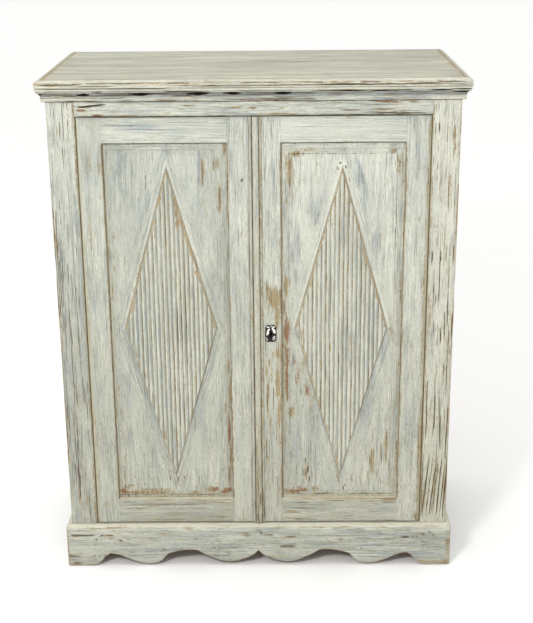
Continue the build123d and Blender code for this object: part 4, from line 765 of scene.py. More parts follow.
def line_field(x, z, entries, dash=0.0):
    """Thin slanting marks: x0, z0, x1, z1, half width, strength; tapered at both ends."""
    out = np.zeros(np.broadcast(x, z).shape)
    for x0, z0, x1, z1, w, q in entries:
        d = np.array([x1 - x0, z1 - z0], float)
        L = np.hypot(*d)
        tt = ((x - x0) * d[0] + (z - z0) * d[1]) / L ** 2
        wob = 0.8 * (vn(tt * L / 14.0, x0 * 0.1, 5) - 0.5)
        off = ((x - x0) * d[1] - (z - z0) * d[0]) / L + wob
        taper = np.clip(np.sin(np.clip(tt, 0, 1) * math.pi) * 1.6, 0, 1)
        ww = np.maximum(w * taper, 0.2)
        v = q * np.exp(-(off / ww) ** 2) * ((tt > 0) & (tt < 1))
        out = np.maximum(out, v)
    return out


def dark_lines(entries):
    return lambda V: line_field(V[:, 0], V[:, 2], entries)


# ------------------------------------------------------------------ posts: coarse open grain, paint missing in the furrows
FURROW_R = [
    (399.5, 120, 400, 300, 1.2, 0.9), (399, 560, 399.5, 700, 0.9, 0.6), (404, 330, 406, 420, 1.0, 0.8), (421, 330, 423, 440, 0.9, 0.7), (437, 900, 436, 1010, 0.8, 0.6), (452, 860, 451, 1010, 1.0, 0.7), (445, 700, 444, 800, 1.0, 0.75),
    (411, 640, 411, 760, 0.9, 0.7), (423, 400, 422, 520, 1.0, 0.8), (449, 440, 449, 560, 1.1, 0.85), (433, 760, 433, 900, 0.8, 0.6), (417, 800, 417, 860, 0.8, 0.6), (455, 320, 455, 430, 1.0, 0.8),
    (423, 118, 435, 262, 1.2, 0.6), (401, 120, 416, 301, 1.6, 1), (410, 120, 424, 288, 1.1, 0.75), (419, 120, 432, 274, 1.6, 1), (427, 120, 438, 301, 1.1, 0.75),
    (436, 120, 446, 288, 1.6, 1), (444, 120, 454, 274, 1.1, 0.75), (452, 137, 460, 301, 1.6, 1), (440, 301, 433, 457, 1.2, 0.9),
    (432, 253, 432, 333, 0.9, 0.6), (449, 332, 448, 424, 0.9, 0.6), (414, 385, 414, 447, 0.9, 0.5), (398, 1121, 397, 1145, 1, 0.7),
    (404, 1123, 403, 1145, 0.9, 0.7), (409, 1125, 408, 1143, 0.9, 0.7), (413, 1076, 412, 1103, 0.9, 0.50),
    (419, 1058, 418, 1094, 0.9, 0.50), (425, 1054, 424, 1096, 0.9, 0.50), (430, 1058, 429, 1105, 0.9, 0.50),
    (436, 1052, 435, 1099, 0.9, 0.50), (442, 1052, 440, 1112, 0.9, 0.50), (447, 1061, 445, 1110, 0.9, 0.50), (401, 1002, 401, 1025, 1, 0.7),
    (421, 901, 417, 1016, 0.7, 0.5), (431, 947, 428, 1016, 0.7, 0.5), (410, 959, 409, 998, 0.7, 0.5), (407, 857, 407, 873, 1, 0.7),
    (414, 857, 414, 868, 0.8, 0.6), (425, 857, 425, 873, 0.9, 0.6), (405, 774, 407, 807, 1.1, 0.9), (426, 779, 425, 807, 1, 0.8),
    (437, 778, 436, 821, 1, 0.8), (446, 788, 445, 824, 1, 0.8), (454, 769, 454, 821, 0.9, 0.7), (436, 687, 435, 721, 0.8, 0.6),
    (447, 643, 445, 682, 1, 0.8), (415, 603, 414, 640, 1.1, 0.9), (431, 576, 430, 623, 1.1, 0.9), (440, 586, 439, 667, 1.1, 0.95),
    (450, 558, 450, 633, 1, 0.8), (457, 588, 457, 657, 1.1, 0.9), (441, 472, 442, 533, 0.9, 0.7), (427, 488, 425, 528, 0.8, 0.6),
]
FURROW_L = [
    (-457.4, 1010, -458.6, 1090, 0.6, 0.6), (-457.0, 880, -455.4, 985, 0.62, 0.95), (-453.6, 930, -452.1, 1040, 0.55, 0.8), (-453.0, 800, -451.2, 905, 0.6, 0.95), (-449.6, 850, -447.6, 985, 0.55, 0.85), (-448.4, 730, -446.8, 830, 0.55, 0.8), (-445.6, 900, -444.0, 1000, 0.5, 0.7), (-444.6, 780, -442.8, 880, 0.55, 0.8), (-441.4, 840, -439.6, 940, 0.5, 0.7), (-440.2, 700, -438.6, 800, 0.5, 0.65), (-436.6, 780, -435.2, 870, 0.5, 0.6), (-455.4, 640, -453.8, 735, 0.6, 0.9), (-451.0, 600, -449.4, 700, 0.55, 0.8), (-446.6, 560, -445.0, 660, 0.55, 0.75), (-442.0, 610, -440.8, 690, 0.5, 0.6), (-434.0, 620, -432.8, 700, 0.5, 0.55), (-430.0, 900, -428.6, 1000, 0.5, 0.5), (-424.0, 960, -422.6, 1060, 0.5, 0.5), (-415.0, 860, -413.8, 960, 0.5, 0.5), (-408.0, 700, -406.8, 800, 0.5, 0.5), (-418.0, 560, -416.8, 660, 0.5, 0.5), 
    (-459.2, 760, -458.2, 860, 0.9, 1.0), (-459, 640, -458, 740, 0.8, 0.9),
    (-459, 290, -457.5, 380, 1.4, 1.2), (-430, 420, -428, 500, 1.0, 0.9), (-436, 380, -434, 480, 0.9, 0.8), (-424, 300, -421, 400, 0.8, 0.7), (-415, 500, -413, 620, 0.8, 0.6), (-447, 520, -445, 640, 0.9, 0.8),
    (-454, 176, -448, 316, 0.8, 0.62), (-448, 193, -445, 297, 0.8, 0.62), (-443, 209, -441, 279, 0.8, 0.62),
    (-440, 176, -435, 305, 0.8, 0.62), (-434, 193, -432, 287, 0.8, 0.62), (-429, 209, -426, 313, 0.8, 0.62),
    (-426, 176, -423, 295, 0.8, 0.62), (-420, 192, -419, 276, 0.8, 0.62), (-446, 789, -443, 872, 0.8, 0.6),
    (-447, 692, -444, 784, 0.8, 0.55), (-445, 618, -442, 702, 0.8, 0.55), (-446, 895, -445, 953, 0.8, 0.55),
    (-436, 918, -432, 1022, 0.7, 0.5), (-427, 836, -424, 930, 0.7, 0.45), (-411, 953, -407, 1044, 0.7, 0.45),
    (-463, 390, -459, 493, 0.9, 0.6), (-459, 337, -455, 441, 0.8, 0.6), (-453, 324, -448, 421, 0.8, 0.55), (-441, 363, -439, 441, 0.7, 0.5),
    (-452, 493, -449, 594, 0.8, 0.5), (-440, 543, -436, 643, 0.7, 0.45), (-423, 593, -419, 692, 0.7, 0.4),
]


def post_grain(seed, pitch, depth, zones, furrows):
    """Furrows along the post every `pitch` mm, opening into short dark cracks where zones is high."""
    def fn(P, Z, C):
        x = P[..., 0]
        on_front = np.exp(-((P[..., 1] - FRONT) / 1.5) ** 2)
        coarse = pitch > 5
        bend = 3.2 * (fb(Z / 300.0, x * 0 + 0.3, seed + 2) - 0.5) + 1.8 * (fb(Z / 120.0, x / 18.0, seed + 4) - 0.5)
        u = (x + bend) / pitch
        i = np.floor(u)
        jit = 0.30 * (hash01(i.astype(np.int64), np.int64(3), seed) - 0.5)
        ph = u - i - 0.5 - jit
        w = (0.70 + 0.40 * hash01(i.astype(np.int64), np.int64(5), seed)) * (1.2 if coarse else 1.0) / pitch
        furrow = np.exp(-(ph / w) ** 2)
        amp = fb(Z / 82.0 + i * 7.31, i * 3.7 + 0.5, seed + 6, 3)
        zone = zones(x, Z)
        opened = ss((0.67 if coarse else 0.64) - 0.34 * zone, 0.80 - 0.32 * zone, amp)
        faint = 0.35 + 0.65 * fb(Z / 90.0 + i * 3.1, i + 0.5, seed + 8, 2)
        sink = furrow * (0.28 * faint + depth * opened) + 0.18 * fb(Z / 30.0, x / 5.0, seed + 9)
        dirt_and_shade = furrow * ((0.52 if coarse else 0.56) * faint + (0.85 if coarse else 0.72) * opened)
        cut = (1.15 if coarse else 1.20) * line_field(x, Z, furrows) * on_front * (0.62 + 0.55 * fb(Z / 16.0, x / 5.0, seed + 12))
        sink = sink + depth * cut
        dirt_and_shade = np.maximum(dirt_and_shade, cut)
        # painted shadow: a dark line just under the cornice's fillet
        dirt_and_shade = np.maximum(dirt_and_shade, 0.7 * np.exp(-((Z - 1151.0) / 1.6) ** 2))
        return sink * (0.3 + 0.7 * on_front), dirt_and_shade * on_front
    return fn


def zones_of(entries, base):
    return lambda x, Z: base + spots(x, Z, entries)


POST_STEP = 0.85


def post_loop(x0, x1):
    """Outline of the post with close points on the front face only."""
    xs_ = np.linspace(x0 + 1.6, x1 - 1.6, int(abs(x1 - x0 - 3.2) / POST_STEP))
    pts = [(x0, FRONT + 1.8), (x0 + 0.5, FRONT + 0.6)] + [(q_, FRONT) for q_ in xs_] + [(x1 - 0.5, FRONT + 0.6), (x1, FRONT + 1.8)]
    pts += [(x1, FRONT + q_) for q_ in (5, 9, 14, 20)] + [(x1, IN_Y), (x1 - (x1 - x0) * 0.33, IN_Y), (x1 - (x1 - x0) * 0.67, IN_Y), (x0, IN_Y)]
    pts += [(x0, FRONT + q_) for q_ in (20, 14, 9, 5)]
    return pts


ZONE_L = zones_of([(-450, 880, 8, 110, 0.12), (-440, 700, 9, 70, 0.18), (-412, 420, 8, 120, 0.25), (-447, 640, 9, 130, 0.22), (-444, 250, 10, 120, 0.5), (-430, 300, 8, 90, 0.4), (-436, 1060, 18, 60, 0.3),
                   (-425, 800, 12, 90, 0.20), (-440, 850, 10, 60, 0.2), (-418, 180, 14, 60, 0.4)], 0.06)
ZONE_R = zones_of([(404, 1085, 9, 26, 0.7), (442, 800, 12, 60, 0.4), (424, 730, 12, 50, 0.4), (440, 640, 12, 50, 0.4),
                   (404, 470, 8, 60, 0.6), (430, 440, 20, 40, 0.4), (446, 200, 12, 80, 0.5), (402, 170, 8, 60, 0.6)], 0.0)
for s, side, seed, pitch, depth, zn in ((-1, "left", 11, 3.7, 0.6, ZONE_L), (1, "right", 23, 6.9, 1.2, ZONE_R)):
    x0, x1 = (OPEN_X, BODY_X) if s > 0 else (-BODY_X, -OPEN_X)
    inner = s * OPEN_X

    def inside(V, inner=inner):
        """The face toward the door."""
        return 1.0 * (np.abs(V[:, 0] - inner) < 0.8) * (V[:, 1] > FRONT + 0.9)

    # painted light: the post's face toward the door is painted lighter and warmer so the gap beside the door reads less
    # dark
    stick(f"post_{side}", post_loop(x0, x1), 0, TOP_Z, "z", "carcass", [f"front_post_{side}"], seed, step=4.0, across=40.0, extra=(1149.5, 1150.5, 1151.5),
          rough_fn=post_grain(seed, pitch, depth, zn, FURROW_R if s > 0 else FURROW_L),
          wear_fn=lambda V, inner=inner, s=s: (spots(V[:, 0], V[:, 2], RUB_FRAME) + (0.55 * line_field(V[:, 0], V[:, 2], [(a_, b_, c_, d_, 2.6, q_) for a_, b_, c_, d_, w_, q_ in FURROW_R]) if s > 0 else 0)) * (1 - inside(V, inner))
          * np.where(np.abs(V[:, 0]) > 459.5, np.exp(-np.maximum(V[:, 1] - FRONT - 2.0, 0) / 1.6), 1.0), edges=0.72,
          tone_fn=(lambda V: 1.5 * inside(V, -OPEN_X) + np.interp(V[:, 2], [0, 450, 560, 760, 900, 1183], [-0.50, -0.50, -0.70, -0.42, 0.22, 0.45]) + 0.6 * (fb(V[:, 0] / 4.0, V[:, 2] / 150.0, 19) - 0.5)) if s < 0 else
          (lambda V: 1.2 * inside(V, OPEN_X) + np.interp(V[:, 2], [0, 250, 420, 700, 1000, 1183], [-0.10, 0.02, 0.45, 0.62, 0.85, 1.15]) + 0.7 * (fb(V[:, 0] / 5.0, V[:, 2] / 170.0, 29) - 0.5)),
          more_fn=(lambda V: {"cool": np.interp(V[:, 2], [450, 560, 780, 900], [0.25, 0.50, 0.36, 0.0]), "warm": by_height(V) + 1.3 * inside(V, -OPEN_X), "fresh": inside(V, -OPEN_X)}) if s < 0 else
          (lambda V: {"cool": 0.0 * V[:, 0], "warm": 0.15 + by_height(V) + 1.3 * inside(V, OPEN_X), "fresh": 0.45 + 0.5 * inside(V, OPEN_X)}),
          bare_fn=lambda C: C[:, 1] > IN_Y - 1.0)


# ------------------------------------------------------------------ rails of the front frame
def plank_grain(seed, along="x", depth=0.35):
    def fn(P, Z, C):
        cross = P[..., 2] if along == "x" else P[..., 0]
        w = 3.0 * (fb(Z / 200.0, cross / 40.0, seed + 2) - 0.5)
        u = cross + w
        hair = ss(0.62, 0.9, vn(u / 2.4, Z / 110.0, seed))
        return 0.12 + depth * hair + 0.2 * fb(Z / 60.0, u / 9.0, seed + 1), 0.30 * hair
    return fn


# the two marks at z 1150.8 are a painted shadow line under the cornice's fillet; the others are dark marks on the rail
FRIEZE_LINES = [(-430, 1150.8, 60, 1150.8, 1.4, 1.15), (-60, 1150.8, 435, 1150.8, 1.4, 1.0), (-390, 1138, -322, 1146, 2.2, 1.25), (-384, 1140, -345, 1142, 1.8, 1.0), (196, 1129, 240, 1129, 1.6, 0.7), (254, 1131, 315, 1130, 1.5, 0.75),
                (152, 1145, 214, 1144, 1.6, 0.45), (-180, 1134, -120, 1136, 1.3, 0.5), (-60, 1143, 10, 1142, 1.2, 0.4),
                (-397, 1119, -240, 1119, 1.3, 0.7), (-240, 1119.5, 396, 1119.5, 1.0, 0.6), (60, 1139, 130, 1140, 1.1, 0.4),
                (-300, 1146, -190, 1145, 1.3, 0.55), (-330, 1129, -240, 1130, 1.4, 0.5), (-20, 1130, 60, 1131, 1.3, 0.55), (-100, 1126, -10, 1127, 1.4, 0.5), (120, 1134, 215, 1133, 1.4, 0.6),
                (230, 1140, 350, 1141, 1.4, 0.6), (300, 1127, 380, 1126, 1.3, 0.6), (-230, 1138, -150, 1139, 1.2, 0.5), (250, 1122.5, 396, 1121, 1.8, 1.0), (40, 1147, 170, 1148, 1.2, 0.6)]
loop = round_loop([(FRONT, 1117.5), (IN_Y, 1117.5), (IN_Y, TOP_Z), (FRONT, TOP_Z)], [1.8, 0.6, 0.6, 0.6])
stick("rail_over_doors", loop, -OPEN_X, OPEN_X, "x", "carcass", ["frieze_rail"], 31, across=1.3, step=4.0,
      rough_fn=plank_grain(31), wear_fn=front_wear(RUB_FRAME), edges=0.55, bare_fn=lambda C: C[:, 1] > IN_Y - 1.0,
      dirt_and_shade_fn=dark_lines(FRIEZE_LINES), tone_fn=lambda V: 0.14 + 0 * V[:, 2], more_fn=lambda V: {"cool": 0.22 + 0 * V[:, 0]})
loop = round_loop([(FRONT, 60), (IN_Y, 60), (IN_Y, 112), (FRONT, 112)], 0.8)
stick("rail_under_doors", loop, -OPEN_X, OPEN_X, "x", "carcass", ["bottom_rail"], 33, across=3.0,
      rough_fn=plank_grain(33), edges=0.35, bare_fn=lambda C: (C[:, 2] < 108) | (C[:, 1] > IN_Y - 1.0))


# ------------------------------------------------------------------ sides: three boards glued edge to edge
def side_rough(seed):
    def fn(P, Z, C):
        y = P[..., 1]
        out = np.abs(P[..., 0]) > 459.0
        joint = np.zeros_like(y)
        for yj in (-62.0, 104.0):
            joint = np.maximum(joint, np.exp(-((y - yj - 1.2 * np.sin(Z / 170.0)) / 1.1) ** 2))
        u = y + 4.0 * (fb(Z / 240.0, y / 50.0, seed + 2) - 0.5)
        hair = ss(0.60, 0.9, vn(u / 2.6, Z / 150.0, seed))
        crack = ss(0.72, 0.9, vn(u / 6.0, Z / 260.0, seed + 1))
        sink = np.where(out, 0.2 * hair + 0.5 * crack + 0.55 * joint + 0.15 * fb(Z / 50.0, u / 12.0, seed + 4), 0.05)
        return sink, np.where(out, 0.62 * joint + 0.5 * crack + 0.2 * hair, 0.0)
    return fn


RUB_SIDE = [(-150, 1080, 26, 30, 0.55), (-190, 700, 12, 90, 0.6), (-205, 500, 8, 160, 0.6), (40, 300, 30, 60, 0.5),
            (150, 880, 20, 60, 0.5), (230, 600, 14, 150, 0.5), (-90, 240, 40, 18, 0.5), (90, 1100, 40, 14, 0.45),
            (-20, 640, 12, 50, 0.4), (200, 180, 24, 30, 0.55), (-130, 380, 10, 50, 0.45)]
for s, side, seed in ((-1, "left", 41), (1, "right", 47)):
    x0, x1 = (440.0, 460.0) if s > 0 else (-460.0, -440.0)
    loop = round_loop([(x0, IN_Y), (x1, IN_Y), (x1, BACK), (x0, BACK)], 1.2)
    stick(f"side_panel_{side}", loop, 46, TOP_Z, "z", "carcass", [f"side_{side}"], seed, step=7.0, across=3.2,
          rough_fn=side_rough(seed), wear_fn=lambda V, s=s: spots(V[:, 1] * (1 if s > 0 else 1.0) + (12 if s > 0 else -9), V[:, 2], RUB_SIDE) * (np.abs(V[:, 0]) > 458),
          edges=0.5, bare_fn=lambda C: np.abs(C[:, 0]) < 459.0)


# ------------------------------------------------------------------ top board
def edge_steps(a, b, step, r):
    base = np.linspace(a + 12, b - 12, max(2, int((b - a - 24) / step)))
    ends = np.array([0, 0.8, 2.0, 3.6, 5.5, 8.0, 10.5])
    return np.unique(np.round(np.concatenate([a + ends, base, b - ends]), 4))


xs = edge_steps(-480, 480, 6.0, 2)
ys = edge_steps(-258, 258, 4.0, 2)
zs = np.array([1183, 1183.8, 1184.8, 1186, 1187, 1188, 1189, 1190.2, 1191.4, 1192.6, 1193.4, 1194.2, 1195, 1200.0])
V, F = lattice(xs, ys, zs)
x, y, z = V.T.copy()
# projection of the moulded edge at each height
prof_z = [1183, 1183.8, 1184.8, 1186, 1187, 1188, 1189, 1190.2, 1191.4, 1192.6, 1193.4, 1194.2, 1195, 1200.0]
prof_t = [18.8, 19.4, 19.8, 20.0, 19.9, 19.3, 19.4, 19.9, 20.0, 20.0, 19.8, 19.4, 18.6, 18.6]
tz = np.interp(z, prof_z, prof_t) - 20.0
side_f = np.clip((np.abs(x) - 440) / 40, 0, 1)
X = np.where(np.abs(x) > 479.9, np.sign(x) * (480 + tz), x)
Y = np.where(y < -257.9, -(258 + tz), y)
# shallow bevel on the upper face
d = np.minimum(480 - np.abs(x), y + 258)
ztop = 1195.0 + 5.0 * np.clip((d - 0.0) / 10.5, 0, 1)
Zt = np.where(z > 1199.9, ztop, z)
wavy = 0.35 * (fb(x / 90.0, y / 20.0, 5) - 0.5)
Zt = np.where(z > 1199.9, np.minimum(Zt - 0.15 + wavy, 1200.0), Zt)
hair = ss(0.64, 0.92, vn((y + 4 * fb(x / 220.0, y / 40.0, 7)) / 2.6, x / 150.0, 6))
Zt = np.where(z > 1199.9, Zt - 0.22 * hair, Zt)
Zt = np.where((z > 1199.9), Zt - 0.5 * np.exp(-((y - 31 - 1.5 * np.sin(x / 160)) / 1.2) ** 2), Zt)
nick = 0.5 * ss(0.62, 0.9, fb(x / 16.0 + y / 16.0, z / 9.0, 14)) * (d < 6)
X = X - np.sign(X) * nick * (np.abs(x) > 470)
Y = Y + nick * (y < -250)
V2 = np.stack([X, Y, Zt], -1)
near = np.exp(-(np.abs(z - 1190) / 5.0) ** 2) * (d < 1.0)
rim = np.exp(-((d - 0.5) / 2.0) ** 2) * (z > 1199.9) + np.exp(-((d - 10.5) / 2.2) ** 2) * (z > 1199.9) * 0.7
ledge = np.exp(-((d - 12.0) / 1.3) ** 2) * (z > 1199.9)
wear = 0.62 * (near + 0.6 * rim) * (0.15 + 1.0 * fb((x + 0.7 * y) / 34.0, z / 8.0, 71))
wear = np.maximum(wear, ledge * (0.42 + 0.70 * fb((x + y) / 90.0, z * 0 + 0.3, 77)))
wear = np.maximum(wear, 0.9 * np.exp(-((d - 0.6) / 1.5) ** 2) * (z > 1192.0) * (0.35 + 0.8 * fb((x + y) / 50.0, z * 0 + 0.8, 78)))
wear = np.maximum(wear, line_field(x, z, [(-474, 1190.5, -372, 1191.5, 3.0, 1.0), (400, 1193, 476, 1192, 2.4, 0.9)]) * (y < -250) * (d < 1.0))
wear = np.maximum(wear, spots(x, y, [(-300, -150, 60, 10, 0.35), (120, 40, 90, 9, 0.3), (330, -60, 40, 12, 0.35), (-60, 180, 70, 8, 0.35)]) * (z > 1199.9))
dashes = ss(0.50, 0.68, fb((x + y) / 44.0, z * 0 + 0.7, 79))
dirt_and_shade = 0.22 * np.exp(-((z - 1183.5) / 1.2) ** 2) * (d < 1.0) * (0.25 + dashes) + 0.16 * hair * (z > 1199.9)
band = np.exp(-((d - 16.5 - 3.0 * (fb((x + y) / 140.0, z * 0 + 0.9, 96) - 0.5)) / 4.6) ** 2) * (z > 1199.9) * (0.40 + 0.85 * fb((x + y) / 110.0, z * 0 + 0.1, 95))
wear = np.maximum(wear, 0.85 * band)
face = (z > 1199.9) & (d > 12)
for k_ in range(26):
    yl = -240 + 490 * hash01(np.int64(k_), np.int64(1), 88)
    line = np.exp(-((y - yl - 10 * (fb(x / 260.0, x * 0 + k_, 89) - 0.5)) / 3.6) ** 2) * face
    dirt_and_shade = np.maximum(dirt_and_shade, 0.58 * line * ss(0.50, 0.66, fb(x / 120.0, x * 0 + 0.4 + k_, 90 + k_)))
cool_t = 0.75 * ss(0.50, 0.70, fb(x / 200.0, y / 22.0, 92)) * face
tone_t = (2.3 * (fb(x / 230.0, y / 19.0, 93) - 0.5) + 1.3 * (fb(x / 120.0, y / 9.0, 94) - 0.5) + 0.10) * face
mid = 0.35 + 0.75 * ss(0.36, 0.58, fb((x + y) / 70.0, z * 0 + 0.2, 81))
dirt_and_shade = np.maximum(dirt_and_shade, 0.45 * np.exp(-((z - 1188.2 - 1.4 * (fb((x + y) / 160.0, z * 0, 82) - 0.5)) / 1.1) ** 2) * (d < 1.0) * mid)
dirt_and_shade = np.maximum(dirt_and_shade, 0.95 * np.exp(-((z - 1193.4) / 1.2) ** 2) * (d < 1.0) * ss(0.46, 0.62, fb((x + y) / 60.0, z * 0 + 0.6, 83)))
dirt_and_shade = np.maximum(dirt_and_shade, line_field(x, z, [(-150, 1186.8, 60, 1187.0, 1.3, 1.05), (-20, 1187.2, 180, 1187.4, 1.3, 1.0), (130, 1187.6, 300, 1188.2, 1.4, 1.15), (250, 1188.0, 440, 1188.6, 1.4, 1.2), (-421, 1186, -300, 1187, 1.0, 0.8), (-290, 1192, -224, 1192, 1.0, 0.7), (-165, 1188, -120, 1186, 1.0, 0.9), (-94, 1187, 20, 1186.5, 1.0, 0.8), (20, 1187, 102, 1189, 0.9, 0.9), (168, 1189, 259, 1189.5, 1.2, 1.15), (417, 1187, 472, 1186, 1.0, 0.8),
                                          (-474, 1190.5, -372, 1191.5, 2.0, 1.0), (-360, 1193, -250, 1193.5, 1.2, 0.7), (330, 1191, 420, 1192, 1.4, 0.8), (400, 1193, 476, 1192, 1.6, 0.85)]) * (y < -250) * (d < 1.0))
dirt_and_shade = dirt_and_shade + 0.5 * np.exp(-((y - 31 - 1.5 * np.sin(x / 160)) / 1.4) ** 2) * (z > 1199.9)
pc = np.stack([V2[:, 1], V2[:, 2], V2[:, 0]], -1) * MM + np.array([2.1, 0.4, 5.3])
C = V2[F].mean(1)
fm = (C[:, 2] < 1183.05).astype(int)
# painted highlight: the moulded front edge (d < 11) is painted lighter, much lighter towards the right end above z 1191
build("top_plank", V2, F.tolist(), "carcass", ["top_board"],
      {"pc": pc, "wear": wear, "dirt_and_shade": dirt_and_shade, "tone": np.where(d < 11.0, 0.62 + 1.3 * ss(80, 300, x) * (z > 1191), tone_t - 0.45 * band) * np.where(z > 1183.5, 1, 0), "cool": cool_t * (1 - np.clip(band, 0, 1)),
       "warm": np.where((d > 11.0) & (z > 1195.0), 0.62, 0.30) + 0.5 * band, "fresh": 0.6 + 0 * x, "grime": 0.5 + 0 * x}, [PAINT, PINE], fm)


# ------------------------------------------------------------------ cornice, mitred at the front corners
CORN = [(0, 1183), (0, 1152), (7.0, 1152), (8.0, 1153.0), (8.1, 1154.2), (8.0, 1156), (8.0, 1158), (8.0, 1160), (8.0, 1161.6), (8.0, 1163), (8.3, 1164.4), (8.7, 1165.6),
        (9.4, 1167.0), (10.2, 1168.2), (11.2, 1169.3), (12.4, 1170.3), (13.6, 1171.2), (15.0, 1172.1), (16.2, 1172.9), (17.0, 1173.6), (17.0, 1174.6), (16.2, 1175.3), (17.0, 1176.0),
        (18.0, 1176.9), (18.7, 1178.1), (19.0, 1179.4), (18.9, 1180.8), (18.2, 1181.9), (17.2, 1182.5), (16.0, 1182.8), (16.0, 1183)]
corn = np.array(CORN, float)
fine_ = [corn[0], corn[1]]
for q_ in range(2, len(corn)):
    a_, b_ = corn[q_ - 1], corn[q_]
    n_ = max(1, int(math.ceil(np.linalg.norm(b_ - a_) / 0.9))) if q_ > 2 else 1
    fine_ += [a_ + (b_ - a_) * (w_ + 1) / n_ for w_ in range(n_)]
corn = np.array(fine_)


def lenses(x, z, entries, seed):
    """Crisp ragged marks, pointed at both ends: x, z, half width, half height, strength."""
    out = np.zeros(np.broadcast(x, z).shape)
    for cx, cz, hw, hh, q in entries:
        u = np.abs(x - cx) / hw
        h = hh * np.sqrt(np.clip(1 - u ** 1.4, 0, 1)) * (0.7 + 0.6 * fb(x / 7.0, z * 0 + cx, seed)) + 0.05
        v = np.abs(z - cz - 0.5 * hh * (fb(x / 14.0, z * 0 + cz, seed + 1) - 0.5)) / h
        out = np.maximum(out, q * ss(1.25, 0.70, v) * (u < 1.0))
    return out


